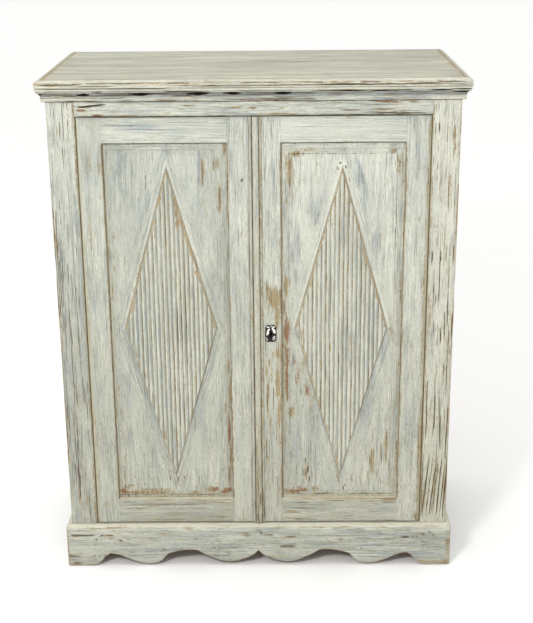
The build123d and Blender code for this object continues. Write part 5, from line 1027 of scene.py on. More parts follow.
def moulding(name, node, s, seed):
    """s = 0 for the front length, -1 and +1 for the returns along the sides."""
    T, Zc = corn[:, 0], corn[:, 1]
    k = len(corn)
    if s == 0:
        us = np.linspace(-1, 1, 270)
        ends = BODY_X
    else:
        us = np.linspace(0, 1, 140)
    rows = []
    for u in us:
        if s == 0:
            xx = u * (BODY_X + T)
            rows.append(np.stack([xx, FRONT - T, Zc], -1))
        else:
            yy = (FRONT - T) * (1 - u) + BACK * u
            rows.append(np.stack([s * (BODY_X + T), yy, Zc], -1))
    S = np.array(rows)
    along = S[..., 0] if s == 0 else S[..., 1]
    chip = 0.8 * ss(0.66, 0.92, fb(along / 17.0, np.repeat(Zc[None], len(us), 0) / 6.0, seed)) + 0.25 * fb(along / 60.0, Zc[None] / 3.0, seed + 1)
    face = (T > 0.5)[None]
    if s == 0:
        S[..., 1] += chip * face * ss(0, 1, 1)
    else:
        S[..., 0] -= s * chip * face
    V, F = tube(S)
    t = np.repeat(T[None], len(us), 0).reshape(-1)
    zc = V[:, 2]
    al = along.reshape(-1)
    wear = 0.34 * np.exp(-((zc - 1178.2) / 1.6) ** 2) * (0.1 + fb(al / 40.0, zc / 5.0, seed + 3))
    wear = np.maximum(wear, 0.62 * np.exp(-((zc - 1153.0) / 1.6) ** 2) * (0.2 + fb(al / 50.0, zc / 4.0, seed + 4)))
    wear = np.maximum(wear, 0.72 * np.exp(-((zc - 1163.5) / 2.6) ** 2) * ss(0.45, 0.75, fb(al / 60.0, zc / 7.0, seed + 5)) * (t > 5))
    # the quirk under the upper bead holds a broken dark line; the cove is darkened as painted shade, with dirt streaks
    # and soot patches in places
    dirt_and_shade = np.exp(-((zc - 1175.2) / 1.2) ** 2) * (t > 12) * (0.30 + 0.95 * ss(0.30, 0.66, fb(al / 52.0, zc * 0 + 0.2, seed + 6)))
    drift = 2.6 * (fb(al / 75.0, zc * 0 + 0.4, seed + 8) - 0.5)
    cove = np.exp(-(np.abs(zc - 1167.2 - 0.8 * drift) / 6.4) ** 3) * (t > 5)
    blue = 0.5 * ss(0.46, 0.66, fb(al / 70.0, zc / 9.0, seed + 21)) * ss(1166.0, 1160.0, zc) * (t > 5)
    dirt_and_shade = np.maximum(dirt_and_shade, cove * (0.16 + 0.54 * ss(0.28, 0.72, fb(al / 60.0, zc / 2.0, seed + 7))))
    thin = np.exp(-((zc - 1170.6 - drift) / 1.0) ** 2) * (t > 5) * ss(0.46, 0.66, fb(al / 58.0, zc * 0 + 0.6, seed + 9))
    thin = np.maximum(thin, np.exp(-((zc - 1165.4 + drift) / 0.9) ** 2) * (t > 5) * ss(0.50, 0.70, fb(al / 46.0, zc * 0 + 0.9, seed + 10)) * 0.8)
    dirt_and_shade = np.maximum(dirt_and_shade, 1.15 * thin)
    dirt_and_shade = np.maximum(dirt_and_shade, (0.26 + 0.40 * ss(0.40, 0.60, fb(al / 50.0, zc * 0 + 0.1, seed + 12))) * np.exp(-((zc - 1152.6) / 1.0) ** 2) * (t > 5))
    dirt_and_shade = np.maximum(dirt_and_shade, 0.60 * ss(0.56, 0.68, fb(al / 62.0, zc / 1.6, seed + 23, 2)) * ss(1152.8, 1154.5, zc) * ss(1166.0, 1161.0, zc) * (t > 5))
    under = 1.0 - 0.85 * ss(-260, -100, al) * (s == 0)
    dirt_and_shade = np.maximum(dirt_and_shade, under * (0.50 + 0.45 * ss(0.4, 0.6, fb(al / 60.0, zc * 0 + 0.3, seed + 20))) * np.exp(-((zc - 1181.4) / 1.1) ** 2) * (t > 5))
    if s == 0:
        dirt_and_shade = np.maximum(dirt_and_shade, lenses(V[:, 0], zc, SOOT_CORNICE, 57))
        dirt_and_shade = np.maximum(dirt_and_shade, line_field(V[:, 0], zc, CORNICE_LINES) * (0.7 + 0.5 * fb(V[:, 0] / 12.0, zc / 3.0, 58)) * (t > 5))
    else:
        dirt_and_shade = np.maximum(dirt_and_shade, spots(V[:, 1], zc, [(-200, 1168, 24, 4, 1.3), (-70, 1169, 36, 4, 1.2), (90, 1169, 30, 4, 1.25), (210, 1169, 20, 4, 1.1)]))
    # painted shade and highlight: the cove is painted darker and the upper bead lighter; the lower part is lighter
    # towards the right end
    tone = np.interp(zc, [1152, 1156.5, 1160, 1163, 1172, 1176, 1183], [0.20, 0.30, -0.20, -0.60, -0.55, 0.50, 0.6])
    tone = tone + 0.65 * ss(120, 280, al) * (zc < 1170) * (s == 0)
    pc = (np.stack([zc, t, al], -1)) * MM + np.array([seed * 0.7, 0.1, seed * 1.1])
    C = np.array([V[f].mean(0) for f in F])
    build(name, V, F, "carcass", [node],
          {"pc": pc, "wear": wear, "dirt_and_shade": dirt_and_shade, "tone": tone, "cool": 0.85 * np.maximum(cove, blue), "warm": 0.35 * (1 - np.maximum(cove, blue)),
           "grime": 0.35 + 0.9 * cove}, [PAINT, PINE])


moulding("cornice_front_mould", "cornice_front", 0, 53)
moulding("cornice_left_mould", "cornice_left", -1, 59)
moulding("cornice_right_mould", "cornice_right", 1, 61)


# ------------------------------------------------------------------ plinth with its scalloped edge
def catmull(pts, n):
    """Smooth curve through the points, n steps per span."""
    p = np.array(pts, float)
    p = np.vstack([2 * p[0] - p[1], p, 2 * p[-1] - p[-2]])
    out = []
    for i in range(1, len(p) - 2):
        for j in range(n):
            t = j / n
            a, b, c, e = p[i - 1], p[i], p[i + 1], p[i + 2]
            out.append(0.5 * (2 * b + (c - a) * t + (2 * a - 5 * b + 4 * c - e) * t * t + (3 * b - 3 * c + e - a) * t ** 3))
    out.append(p[-2])
    return np.array(out)


s_out = [(403.5, 1.9), (396.5, 6), (389, 13), (380, 24), (370, 31.5), (364.5, 33.4), (350, 31), (335, 25.5), (315, 16),
         (296, 9), (280, 6), (267, 5), (255, 6.5), (245, 10.5), (236, 17.5), (229.5, 26), (224, 32)]
s_in = [(224, 32), (210, 36.5), (190, 41), (168, 43.5), (150, 41), (133, 31), (112, 20.5), (92, 12.5), (71, 10),
        (50, 13), (30, 20), (12, 29), (0, 41)]
half = np.vstack([catmull(s_out, 4)[:-1], catmull(s_in, 4)])      # from the foot to the middle
FAN = [(1.0, 4.4), (0.975, 2.9), (0.91, 1.5), (0.78, 0.55), (0.5, 0.1), (0.0, 0.0)]       # mitre plane swinging to square, and the rounded corner
foot = np.array([(460.0, h_) for k_, h_ in FAN] + [(450, 0), (440, 0), (430, 0), (420, 0), (413, 0.2), (408, 0.7)])
half = np.vstack([foot, half])
NF = len(FAN)
curve = np.vstack([half * [1, 1], (half * [-1, 1])[::-1][1:]])       # +x to -x
curve[:, 1] = np.maximum(curve[:, 1], 0)

e_half = [(0, 0), (7, 5), (14, 13), (23, 24), (33, 31.5), (38.5, 33.4), (53, 31), (64, 27.5), (72, 28.5), (79, 34)]
e_arch = [(79, 34), (93, 37.5), (113, 41), (140, 43.5), (186, 45)]
eh = np.vstack([catmull(e_half, 4)[:-1], catmull(e_arch, 4)])
f0 = -250 + 68.0
ymid = (f0 + 190.0) / 2
k_e = (ymid - f0) / 186.0
left_part = np.stack([f0 + eh[:, 0] * k_e, eh[:, 1]], -1)
right_part = np.stack([2 * ymid - left_part[::-1, 0], left_part[::-1, 1]], -1)
ecurve = np.vstack([[(-238, h_) for k_, h_ in FAN], [(-230, 0), (-215, 0), (-200, 0), (-188, 0)], left_part, right_part[1:],
                    [(200, 0), (215, 0), (230, 0), (245, 0), (258, 0)]])


def plinth(name, node, path, s, seed):
    """path: along position and lower edge height. s = 0 front, -1 / +1 ends."""
    path = np.array(path)
    n = len(path)
    tf = np.linspace(0, 1, 22)
    loops = []
    for i, (a, zb) in enumerate(path):
        r = 2.0 + 1.4 * float(vn(a / 23.0, 0.5, seed))
        zb = max(zb, 0.0)
        r = min(r, 3.2)
        lo = [(0.0, zb), (12.0 - r, zb), (12.0 - 0.62 * r, zb + 0.12 * r), (12.0 - 0.29 * r, zb + 0.29 * r),
              (12.0 - 0.1 * r, zb + 0.62 * r), (12.0, zb + r)]
        up = [(12.0, zb + r + (104.8 - zb - r) * q) for q in tf[1:]]
        top = [(11.7, 106.4), (10.4, 107.6), (8.0, 108.9), (5.0, 110.3), (2.0, 111.6), (0.8, 112.0), (0.0, 112.0)]
        back = [(0.0, 112.0 + (zb - 112.0) * q) for q in (0.25, 0.5, 0.75)]
        loops.append(lo + up + top + back)
    L = np.array(loops)                       # n, k, (t, z)
    T, Zc = L[..., 0], L[..., 1]
    A = np.repeat(path[:, :1], L.shape[1], 1)
    # mitred ends follow the projection
    for i, (k_, h_) in enumerate(FAN):
        if s == 0:
            A[i] = BODY_X + T[i] * k_ - 3.0 * (1 - k_)
            A[n - 1 - i] = -A[i]
        else:
            A[i] = FRONT - T[i] * k_ + 3.0 * (1 - k_)
    grain = ss(0.60, 0.9, vn((Zc + 3 * fb(A / 180.0, Zc / 30.0, seed + 2)) / 2.6, A / 120.0, seed + 1))
    wave = 0.5 * (fb(A / 70.0, Zc / 30.0, seed + 3) - 0.3)
    sink = (T > 9) * (0.15 + 0.35 * grain + np.maximum(wave, 0) * 0.6)
    sink[0] = 0
    if s == 0:
        sink[-1] = 0
        S = np.stack([A, FRONT - T + sink, Zc], -1)
    else:
        S = np.stack([s * (BODY_X + T - sink), A, Zc], -1)
    V, F = tube(S)
    al = A.reshape(-1)
    zc = Zc.reshape(-1)
    t = T.reshape(-1)
    zb = np.repeat(path[:, 1:2], L.shape[1], 1).reshape(-1)
    low = np.exp(-((zc - zb) / 2.8) ** 2) * (t > 5)
    wear = low * (0.66 + 0.46 * fb(al / 30.0, zc / 9.0, seed + 5))
    upper = np.exp(-((zc - 105.6) / 1.5) ** 2) * (t > 8)
    wear = np.maximum(wear, upper * (0.30 + 0.62 * fb(al / 60.0, zc / 6.0, seed + 6)))
    if s == 0:
        wear = np.maximum(wear, spots(V[:, 0], zc, RUB_PLINTH) * (t > 6))
        wear = np.maximum(wear, 0.75 * np.exp(-((np.abs(V[:, 0]) - 471) / 3.0) ** 2) * (0.3 + 0.8 * fb(zc / 16.0, al / 9.0, seed + 9)) * (t > 10))
    else:
        wear = np.maximum(wear, spots(V[:, 1], zc, [(-200, 60, 30, 5, 0.5), (20, 80, 50, 4, 0.5), (180, 50, 30, 6, 0.6)]) * (t > 6))
        wear = np.maximum(wear, 0.75 * np.exp(-((V[:, 1] + 249) / 3.0) ** 2) * (0.3 + 0.8 * fb(zc / 16.0, al / 9.0, seed + 9)) * (t > 10))
    dirt_and_shade = 0.36 * grain.reshape(-1) * (t > 9)
    dirt_and_shade = np.maximum(dirt_and_shade, 0.5 * np.exp(-((zc - 112) / 0.8) ** 2) * (t < 2))
    if s == 0:
        dirt_and_shade = np.maximum(dirt_and_shade, line_field(al, zc, PLINTH_LINES) * (t > 9))
    for k_ in range(7):
        zl = 12 + 88 * hash01(np.int64(k_), np.int64(2), seed)
        line = np.exp(-((zc - zl - 5 * (fb(al / 150.0, al * 0 + k_, seed + 14) - 0.5)) / 1.1) ** 2) * (t > 9)
        dirt_and_shade = np.maximum(dirt_and_shade, 0.62 * line * ss(0.52, 0.66, fb(al / 66.0, al * 0 + 0.37 + k_, seed + 15 + k_)))
    # painted highlight: the upward-facing top bevel (z > 105.5) is painted much lighter; the face below is darker low
    # down and lighter towards the bevel
    tone = np.where(zc > 105.5, 1.75, -0.46 + 0.85 * ss(91, 103, zc)) + 2.0 * (fb(al / 90.0, zc / 9.0, seed + 16) - 0.5) * (zc < 105.5)
    cool = 0.80 * ss(0.50, 0.74, fb(al / 110.0, zc / 14.0, seed + 17)) * (zc < 105.5)
    warm = np.where(zc > 105.5, 0.70, 0.20)
    corner = np.exp(-((np.abs(V[:, 0]) - 472) / 2.2) ** 2) * np.exp(-((V[:, 1] + 250) / 2.2) ** 2) * (t > 8)
    wear = np.maximum(wear, corner * (0.72 + 0.4 * fb(zc / 20.0, zc * 0 + 0.5, seed + 18)))
    fresh = 0.35 * np.ones(len(V))
    pc = np.stack([zc * 0.62, t, al * 0.50], -1) * MM + np.array([seed * 0.31, 0.2, seed * 0.9])
    C = np.array([V[f].mean(0) for f in F])
    tt = (FRONT - C[:, 1]) if s == 0 else (s * C[:, 0] - BODY_X)
    fm = (tt < 0.4).astype(int)
    build(name, V, F, "carcass", [node], {"pc": pc, "wear": wear, "dirt_and_shade": dirt_and_shade, "tone": tone, "cool": cool, "warm": warm, "fresh": fresh, "grime": 0.8 + 0 * warm},
          [PAINT, PINE], fm)


plinth("plinth_front_board", "plinth_front", curve, 0, 67)
plinth("plinth_left_board", "plinth_left", ecurve, -1, 73)
plinth("plinth_right_board", "plinth_right", ecurve, 1, 79)


# ------------------------------------------------------------------ doors
def door_grain(seed, along):
    def fn(P, Z, C):
        cross = P[..., 0] if along == "z" else P[..., 2]
        u = cross + 3.0 * (fb(Z / 220.0, cross / 40.0, seed + 2) - 0.5)
        hair = ss(0.66, 0.94, vn(u / 2.2, Z / 120.0, seed))
        return 0.10 + 0.22 * hair + 0.20 * fb(Z / 50.0, u / 10.0, seed + 1), 0.20 * hair
    return fn


def door_back(C):
    """The back of a door and the edges round its panel seen from behind are left unpainted."""
    ax, z = np.abs(C[:, 0]), C[:, 2]
    within = (ax > OPEN_IN - 1.0) & (ax < OPEN_OUT + 1.0) & (z > OPEN_Z0 - 1.0) & (z < OPEN_Z1 + 1.0)
    return (C[:, 1] > DOOR_Y1 - 0.8) | ((C[:, 1] > -219.9) & within)


def quirk_dirt(entries):
    """Dark lines: x0, x1, z0, z1, strength."""
    def fn(V):
        out = np.zeros(len(V))
        for x0, x1, z0, z1, q in entries:
            m = (V[:, 0] > x0) & (V[:, 0] < x1) & (V[:, 2] > z0) & (V[:, 2] < z1)
            out[m] = np.maximum(out[m], q * (0.5 + 0.7 * fb(V[m, 2] / 30.0, V[m, 0] / 9.0, 3)))
        return out
    return fn


def fielded(s):
    """Depth of the panel face at x, z: bevel round the edge, raised field, a scribed line at the field."""
    def fn(x, z):
        ax = np.abs(x)
        dx = np.minimum(ax - OPEN_IN, OPEN_OUT - ax)
        dz = np.minimum(z - OPEN_Z0 + 4, OPEN_Z1 - z - 8)
        d = np.minimum(dx, dz)
        d = d + 1.6 * (fb(x / 60.0, z / 60.0, 91 + s) - 0.5)
        y = MARGIN_Y + (FIELD_Y - MARGIN_Y) * ss(1.0, 17.0, d)
        groove = np.exp(-((d - 18.5) / 0.9) ** 2)
        y = y + (0.8 if s > 0 else 0.35) * groove
        return y, d, groove
    return fn


def painted_shade_under_head(V):
    """Painted shade on the door just below its head, under the rail over the doors: darkest at the top edge, fading
    downward over a few millimetres.
    """
    return 1.0 * np.exp(-np.maximum(DOOR_Z1 - V[:, 2], 0) / 7.5)


def flush_joints(xe):
    """The eased inner arris of a stile stops where the rails butt against it."""
    def fn(P):
        beyond = (P[..., 2] < OPEN_Z0 - 0.05) | (P[..., 2] > OPEN_Z1 + 0.05)
        near_ = (np.abs(P[..., 0] - xe) < 2.6) & (P[..., 1] < DOOR_Y0 + 2.9)
        P[..., 1] = np.where(beyond & near_, DOOR_Y0 + 0.12, P[..., 1])
        return P
    return fn


def no_joint(xe):
    return lambda V: 1.0 - 0.9 * ((V[:, 2] < OPEN_Z0) | (V[:, 2] > OPEN_Z1)) * (np.abs(V[:, 0] - xe) < 6)


JOINTS = (OPEN_Z0 - 0.3, OPEN_Z0 + 0.1, OPEN_Z1 - 0.1, OPEN_Z1 + 0.3)
EPS = 0.02
HOUSING = (44.3, -223.8, 575.7, 636.3)          # lock housing in the right stile: inner end, floor, foot, head
KEYWAY = (29.5, 39.5, -224.6, 592.0, 611.5)     # hollow behind the keyhole: x0, x1, floor, z0, z1
MORTISE = (-222.5, -215.5, -20.0, 610.8, 627.2) # pocket for the lock bolt in the left stile: y0, y1, floor, z0, z1


def ends(z0, z1):
    return (z0, z0 + EPS, z1 - EPS, z1)


def sunk(loop, z0, z1, pick, place):
    """Moves the picked run of a stile's loop to another line between two heights: a pocket with square walls."""
    lp = subdivide(loop, 2.6)
    idx = np.nonzero(pick(lp))[0]
    xy = place(lp[idx])

    def fn(P):
        rows = np.nonzero((P[:, 0, 2] > z0 + EPS / 2) & (P[:, 0, 2] < z1 - EPS / 2))[0]
        P[np.ix_(rows, idx, np.array([0, 1]))] = xy[None]
        return P
    return fn


def housing_path(p):
    """The run round the back edge of the stile, laid instead along the end and the floor of the lock housing."""
    d = np.concatenate([[0], np.cumsum(np.linalg.norm(np.diff(p, axis=0), axis=1))])
    deep = DOOR_Y1 - HOUSING[1]
    t = d * (deep + HOUSING[0] - p[-1, 0]) / d[-1]
    t[np.argmin(np.abs(t - deep))] = deep
    return np.stack([HOUSING[0] - np.maximum(t - deep, 0), DOOR_Y1 - np.minimum(t, deep)], -1)


def stile_bare(C):
    x, y, z = C.T
    lock = (z > HOUSING[2]) & (z < HOUSING[3]) & (y > HOUSING[1] - 0.1) & (x > -4.2) & (x < 45)
    bolt = (z > MORTISE[3]) & (z < MORTISE[4]) & (y > MORTISE[0] - 0.1) & (y < MORTISE[1] + 0.1) & (x > -20.2) & (x < -6.6)
    return door_back(C) | lock | bolt


for s, side, sd in ((-1, "left", 101), (1, "right", 151)):
    body = f"{side}_door"
    meet = -6.0 if s < 0 else -4.0
    wf = front_wear(RUB_DOORS, LINES)
    # hinge stile with its rounded edge
    px, r = s * PIVOT_X, EDGE_R
    arc = [(px + s * (r + 0.6) * math.sin(a), PIVOT_Y - r * math.cos(a)) for a in np.linspace(0, math.pi, 15)]
    inner = [(s * OPEN_OUT, DOOR_Y1), (s * OPEN_OUT, DOOR_Y0 + 2.2), (s * (OPEN_OUT + 0.5), DOOR_Y0 + 0.9), (s * (OPEN_OUT + 1.8), DOOR_Y0)]
    loop = arc + inner
    # painted light: the rounded hinge edge (x 389 to 396) is painted lighter and warmer, with less blue and fewer
    # flecks, so the gap beside the post reads less dark; painted shade under the door's head
    stick(f"{side}_hinge_stile_face", loop, DOOR_Z0, DOOR_Z1, "z", body, [f"{side}_door_hinge_stile"], sd, across=2.6,
          rough_fn=door_grain(sd, "z"), wear_fn=wf, edges=0.45, bare_fn=door_back, warp=flush_joints(s * OPEN_OUT), extra=JOINTS, keep_fn=no_joint(s * OPEN_OUT),
          more_fn=lambda V: {"warm": np.minimum(by_height(V) + 1.3 * ss(389, 396, np.abs(V[:, 0])), 1.5), "fresh": 0.7 * ss(387, 393, np.abs(V[:, 0])),
                             "cool": -1.0 * ss(387, 392, np.abs(V[:, 0])) + spots(V[:, 0], V[:, 2], SMEAR_STILE), "grime": grime_at(V) * (1 - ss(387, 392, np.abs(V[:, 0])))},
          tone_fn=(lambda V: np.interp(V[:, 2], [114, 350, 700, 1115], [-0.46, -0.40, -0.14, 0.0]) + (1.2 if s < 0 else 0.6) * ss(389, 396, np.abs(V[:, 0])) - painted_shade_under_head(V)) if s < 0 else
          (lambda V: np.interp(V[:, 2], [114, 350, 700, 1115], [-0.16, -0.04, 0.22, 0.38]) + 0.6 * ss(389, 396, np.abs(V[:, 0])) - painted_shade_under_head(V)))
    # meeting stile
    if s > 0:
        rect = [(meet, DOOR_Y0), (KEYWAY[0] - EPS, DOOR_Y0), (KEYWAY[0], DOOR_Y0), (KEYWAY[1], DOOR_Y0), (KEYWAY[1] + EPS, DOOR_Y0), (OPEN_IN, DOOR_Y0),
                (OPEN_IN, DOOR_Y1), (HOUSING[0] + EPS, DOOR_Y1), (HOUSING[0], DOOR_Y1), (meet, DOOR_Y1), (meet, HOUSING[1] + EPS), (meet, HOUSING[1])]
        loop = round_loop(rect, [0.4, 0, 0, 0, 0, 2.0, 0.5, 0, 0, 0.8, 0, 0])
        pockets = [flush_joints(s * OPEN_IN),
                   sunk(loop, KEYWAY[3], KEYWAY[4], lambda p: (p[:, 1] < DOOR_Y0 + 0.01) & (p[:, 0] > KEYWAY[0] - EPS / 2) & (p[:, 0] < KEYWAY[1] + EPS / 2),
                        lambda p: np.stack([p[:, 0], p[:, 0] * 0 + KEYWAY[2]], -1)),
                   sunk(loop, HOUSING[2], HOUSING[3], lambda p: (p[:, 0] < HOUSING[0] + EPS / 2) & (p[:, 1] > HOUSING[1] + EPS / 2), housing_path)]
        levels = JOINTS + ends(KEYWAY[3], KEYWAY[4]) + ends(HOUSING[2], HOUSING[3])
    else:
        rect = [(-OPEN_IN, DOOR_Y0), (meet, DOOR_Y0), (meet, MORTISE[0] - EPS), (meet, MORTISE[0]), (meet, MORTISE[1]), (meet, MORTISE[1] + EPS), (meet, DOOR_Y1), (-OPEN_IN, DOOR_Y1)]
        loop = round_loop(rect, [2.0, 0.4, 0, 0, 0, 0, 0.8, 0.5])
        pockets = [flush_joints(s * OPEN_IN),
                   sunk(loop, MORTISE[3], MORTISE[4], lambda p: (p[:, 0] > meet - 0.01) & (p[:, 1] > MORTISE[0] - EPS / 2) & (p[:, 1] < MORTISE[1] + EPS / 2),
                        lambda p: np.stack([p[:, 0] * 0 + MORTISE[2], p[:, 1]], -1))]
        levels = JOINTS + ends(MORTISE[3], MORTISE[4])
    stick(f"{side}_meeting_stile_face", loop, DOOR_Z0, DOOR_Z1, "z", body, [f"{side}_door_meeting_stile"], sd + 3, across=2.6,
          rough_fn=door_grain(sd + 3, "z"), wear_fn=wf, edges=0.45, bare_fn=stile_bare, warp=lambda P: functools.reduce(lambda q, f: f(q), pockets, P), extra=levels, keep_fn=no_joint(s * OPEN_IN),
          dirt_and_shade_fn=(lambda V: 0.50 * np.exp(-((V[:, 0] + 15.0) / 2.0) ** 2) * (0.7 + 0.6 * fb(V[:, 2] / 60.0, V[:, 0] * 0, 233)) + 1.6 * np.exp(-((V[:, 0] + 28.0) / 2.2) ** 2 - ((V[:, 2] - 973.0) / 4.0) ** 2)) if s < 0 else
          (lambda V: 1.35 * line_field(V[:, 0], V[:, 2], STILE_LINES) + 2.0 * ((np.abs(V[:, 0] - 34.5) < 9) & (np.abs(V[:, 2] - 604) < 14))),          # painted shade: the keyway hollow behind the keyhole is painted near black
          tone_fn=lambda V, s=s: np.interp(V[:, 2], [114, 350, 700, 1115], [-0.25, -0.15, 0.0, 0.15] if s < 0 else [-0.40, -0.10, 0.16, 0.34]) - painted_shade_under_head(V),
          more_fn=lambda V, s=s: {"warm": by_height(V), "fresh": 0.5 * (s > 0) * ss(700, 560, V[:, 2])})
    # rails
    xa, xb = (OPEN_IN, OPEN_OUT) if s > 0 else (-OPEN_OUT, -OPEN_IN)
    loop = round_loop([(DOOR_Y0, OPEN_Z1), (DOOR_Y1, OPEN_Z1), (DOOR_Y1, DOOR_Z1), (DOOR_Y0, DOOR_Z1)], [2.0, 0.5, 0.8, 1.4])
    stick(f"{side}_top_rail_face", loop, xa, xb, "x", body, [f"{side}_door_top_rail"], sd + 5, across=2.6,
          rough_fn=door_grain(sd + 5, "x"), wear_fn=wf, edges=0.28, bare_fn=door_back, end_r=0.25,
          tone_fn=lambda V, s=s: (0.16 if s < 0 else 0.52) - painted_shade_under_head(V),
          more_fn=lambda V, s=s: {"warm": by_height(V), "cool": spots(V[:, 0], V[:, 2], SMEAR_RAIL) - 0.10, "grime": 0.25 * grime_at(V)}, along=0.55)
    loop = round_loop([(DOOR_Y0, DOOR_Z0), (DOOR_Y1, DOOR_Z0), (DOOR_Y1, OPEN_Z0), (DOOR_Y0, OPEN_Z0)], [1.4, 0.8, 0.5, 2.6])
    # painted highlight: the rail's upward-facing top (above z 175.6) is painted much lighter; the front below is set
    # darker
    stick(f"{side}_bottom_rail_face", loop, xa, xb, "x", body, [f"{side}_door_bottom_rail"], sd + 7, across=2.6,
          rough_fn=door_grain(sd + 7, "x"), edges=0.40, bare_fn=door_back, end_r=0.25, dirt_and_shade_fn=dark_lines(BOTTOM_LINES),
          wear_fn=lambda V, sd=sd: np.maximum(wf(V), 1.0 * np.exp(-((V[:, 2] - 175.4) / 1.5) ** 2) * (V[:, 1] < DOOR_Y0 + 1.6) * (0.35 + 0.75 * fb(V[:, 0] / 26.0, V[:, 2] * 0 + 0.2, sd + 27))),
          tone_fn=lambda V, s=s: np.where((V[:, 2] > 175.6) & (V[:, 1] > DOOR_Y0 + 0.5), 1.5 if s < 0 else 2.9, (-0.98 if s < 0 else -0.40) + 0.9 * (fb(V[:, 0] / 120.0, V[:, 2] / 9.0, sd + 18) - 0.5)),
          more_fn=lambda V: {"warm": np.where(V[:, 2] > 175.0, 0.95, 0.36), "cool": spots(V[:, 0], V[:, 2], SMEAR_RAIL) * (V[:, 2] < 174)}, along=0.7)

    # fielded panel
    fld = fielded(s)
    xi = np.unique(np.round(np.concatenate([np.linspace(xa, xb, 142), xa + np.array([0.5, 1, 2, 3, 17.2, 18, 18.5, 19, 19.8]),
                                            xb - np.array([0.5, 1, 2, 3, 17.2, 18, 18.5, 19, 19.8])]), 4))
    zi = np.unique(np.round(np.concatenate([np.linspace(OPEN_Z0 - 0, OPEN_Z1, 240), OPEN_Z0 + np.array([1, 2, 3.2, 4.4, 5.6, 6.8, 7.6, 8.4, 9.2, 10.0, 11, 12, 13.5, 14.5, 15.5, 17, 19]),
                                            OPEN_Z1 - np.array([1, 2, 25, 26, 26.5, 27, 28])]), 4))
    V, F = lattice(xi, [0.0, 1.0], zi)
    x, q, z = V.T
    yf, d, groove = fld(x, z)
    u = x + 3.0 * (fb(z / 240.0, x / 50.0, sd + 9) - 0.5)
    hair = ss(0.70, 0.95, vn(u / 2.6, z / 130.0, sd + 8))
    yf = yf + 0.18 * hair + 0.25 * fb(z / 60.0, u / 14.0, sd + 10)
    y = np.where(q < 0.5, yf, -219.0)
    V2 = np.stack([x, y, z], -1)
    wear = wf(V2) * (q < 0.5)
    rimw = np.exp(-((d - 14.5) / 3.0) ** 2) * (0.02 + 0.55 * fb(z / 45.0, x / 45.0, sd + 12))
    wear = np.maximum(wear, rimw * (q < 0.5))
    dirt_and_shade = 0.62 * groove * (0.25 + 0.9 * fb(z / 50.0, x / 50.0, sd + 13)) * (1.0 if s > 0 else 0.45)
    if s > 0:
        dirt_and_shade = dirt_and_shade + 0.40 * groove * (ss(0.48, 0.60, fb(z / 14.0, x / 14.0, sd + 14))) * np.clip(ss(90, 70, x) * ss(760, 860, z) + ss(1000, 1030, z) + ss(310, 325, x) * ss(800, 900, z) * 0.6, 0, 1)
        dirt_and_shade = np.maximum(dirt_and_shade, 0.40 * ss(0.50, 0.66, fb(x / 26.0, z / 5.0, sd + 16)) * ss(1030, 1042, z))
    at_side = np.minimum(x - xa, (xb - x) + (2.6 if s > 0 else 0.0))
    # painted light: the panel's left edge, in the stile's shadow, is painted lighter, warmer and less blue
    left_edge = np.exp(-((x - xa) / 3.2) ** 2)
    dirt_and_shade = np.maximum(dirt_and_shade, 0.12 * np.exp(-(at_side / 1.3) ** 2) + (0.42 * np.exp(-((xb - x) / 2.4) ** 2) if s < 0 else 0))
    wear = np.maximum(wear, (0.55 * np.exp(-((xb - x) / 4.0) ** 2) if s < 0 else 0) * (q < 0.5))
    # painted shadow: a dark line along the top of the panel, under the top rail
    dirt_and_shade = np.maximum(dirt_and_shade, (1.0 if s < 0 else 1.25) * np.exp(-((OPEN_Z1 - z) / 3.0) ** 2))
    dirt_and_shade = np.maximum(dirt_and_shade, 0.74 * np.exp(-((z - 184.9 - 0.6 * np.sin(x / 41.0)) / 1.7) ** 2) * (0.55 + 0.45 * ss(0.40, 0.60, fb(x / 30.0, z * 0 + 0.5, sd + 15))))
    dirt_and_shade = np.maximum(dirt_and_shade, line_field(x, z, [(a_, b_, c_, d_, 1.5 * w_, 1.25 * q_) for a_, b_, c_, d_, w_, q_ in PANEL_LINES]) * (0.65 + 0.6 * fb(x / 9.0, z / 14.0, sd + 45)))
    dirt_and_shade = (dirt_and_shade + 0.16 * hair) * (q < 0.5)
    # the brush followed the lozenge's edges close to it
    lx, lz = np.abs(x - s * LOZ_X), np.abs(z - LOZ_Z)
    hyp = math.hypot(LOZ_HW, LOZ_HH)
    dist = (lx * LOZ_HH + lz * LOZ_HW - LOZ_HW * LOZ_HH) / hyp
    dw = np.exp(-(np.maximum(dist, 0) / 34.0) ** 2) * ss(-6, 0, dist)
    sg = np.where((x - s * LOZ_X) * (z - LOZ_Z) >= 0, 1.0, -1.0)
    pd = np.stack([(x - s * LOZ_X) * LOZ_HH / hyp + sg * (z - LOZ_Z) * LOZ_HW / hyp, y,
                   (z - LOZ_Z) * LOZ_HH / hyp - sg * (x - s * LOZ_X) * LOZ_HW / hyp], -1) * MM
    pd = pd + np.array([sd * 0.19, 0.7, sd * 0.23])
    dirt_and_shade = np.maximum(dirt_and_shade, 0.74 * np.exp(-((dist - 0.3) / 1.3) ** 2) * (q < 0.5) * (0.55 + 0.8 * fb(z / 60.0, x / 60.0, sd + 17)))
    # painted highlight: a light line just outside the lozenge's upper edges
    lip = np.exp(-((dist - 4.2) / 1.7) ** 2) * (q < 0.5) * (z > LOZ_Z)
    if s < 0:
        tone = np.interp(z, [180, 450, 700, 1050], [-0.68, -0.76, -0.46, 0.0]) - 0.30 * ss(-235, -300, x) * ss(150, 600, z)
    else:
        tone = np.interp(z, [180, 450, 700, 1050], [-0.14, -0.10, 0.22, 0.66]) - 0.24 * ss(190, 120, x) * ss(620, 420, z)
    # painted shade: the panel darkens towards its top edge, under the top rail
    tone = tone - 0.55 * np.exp(-np.maximum(OPEN_Z1 - 2.0 - z, 0) / 8.0)
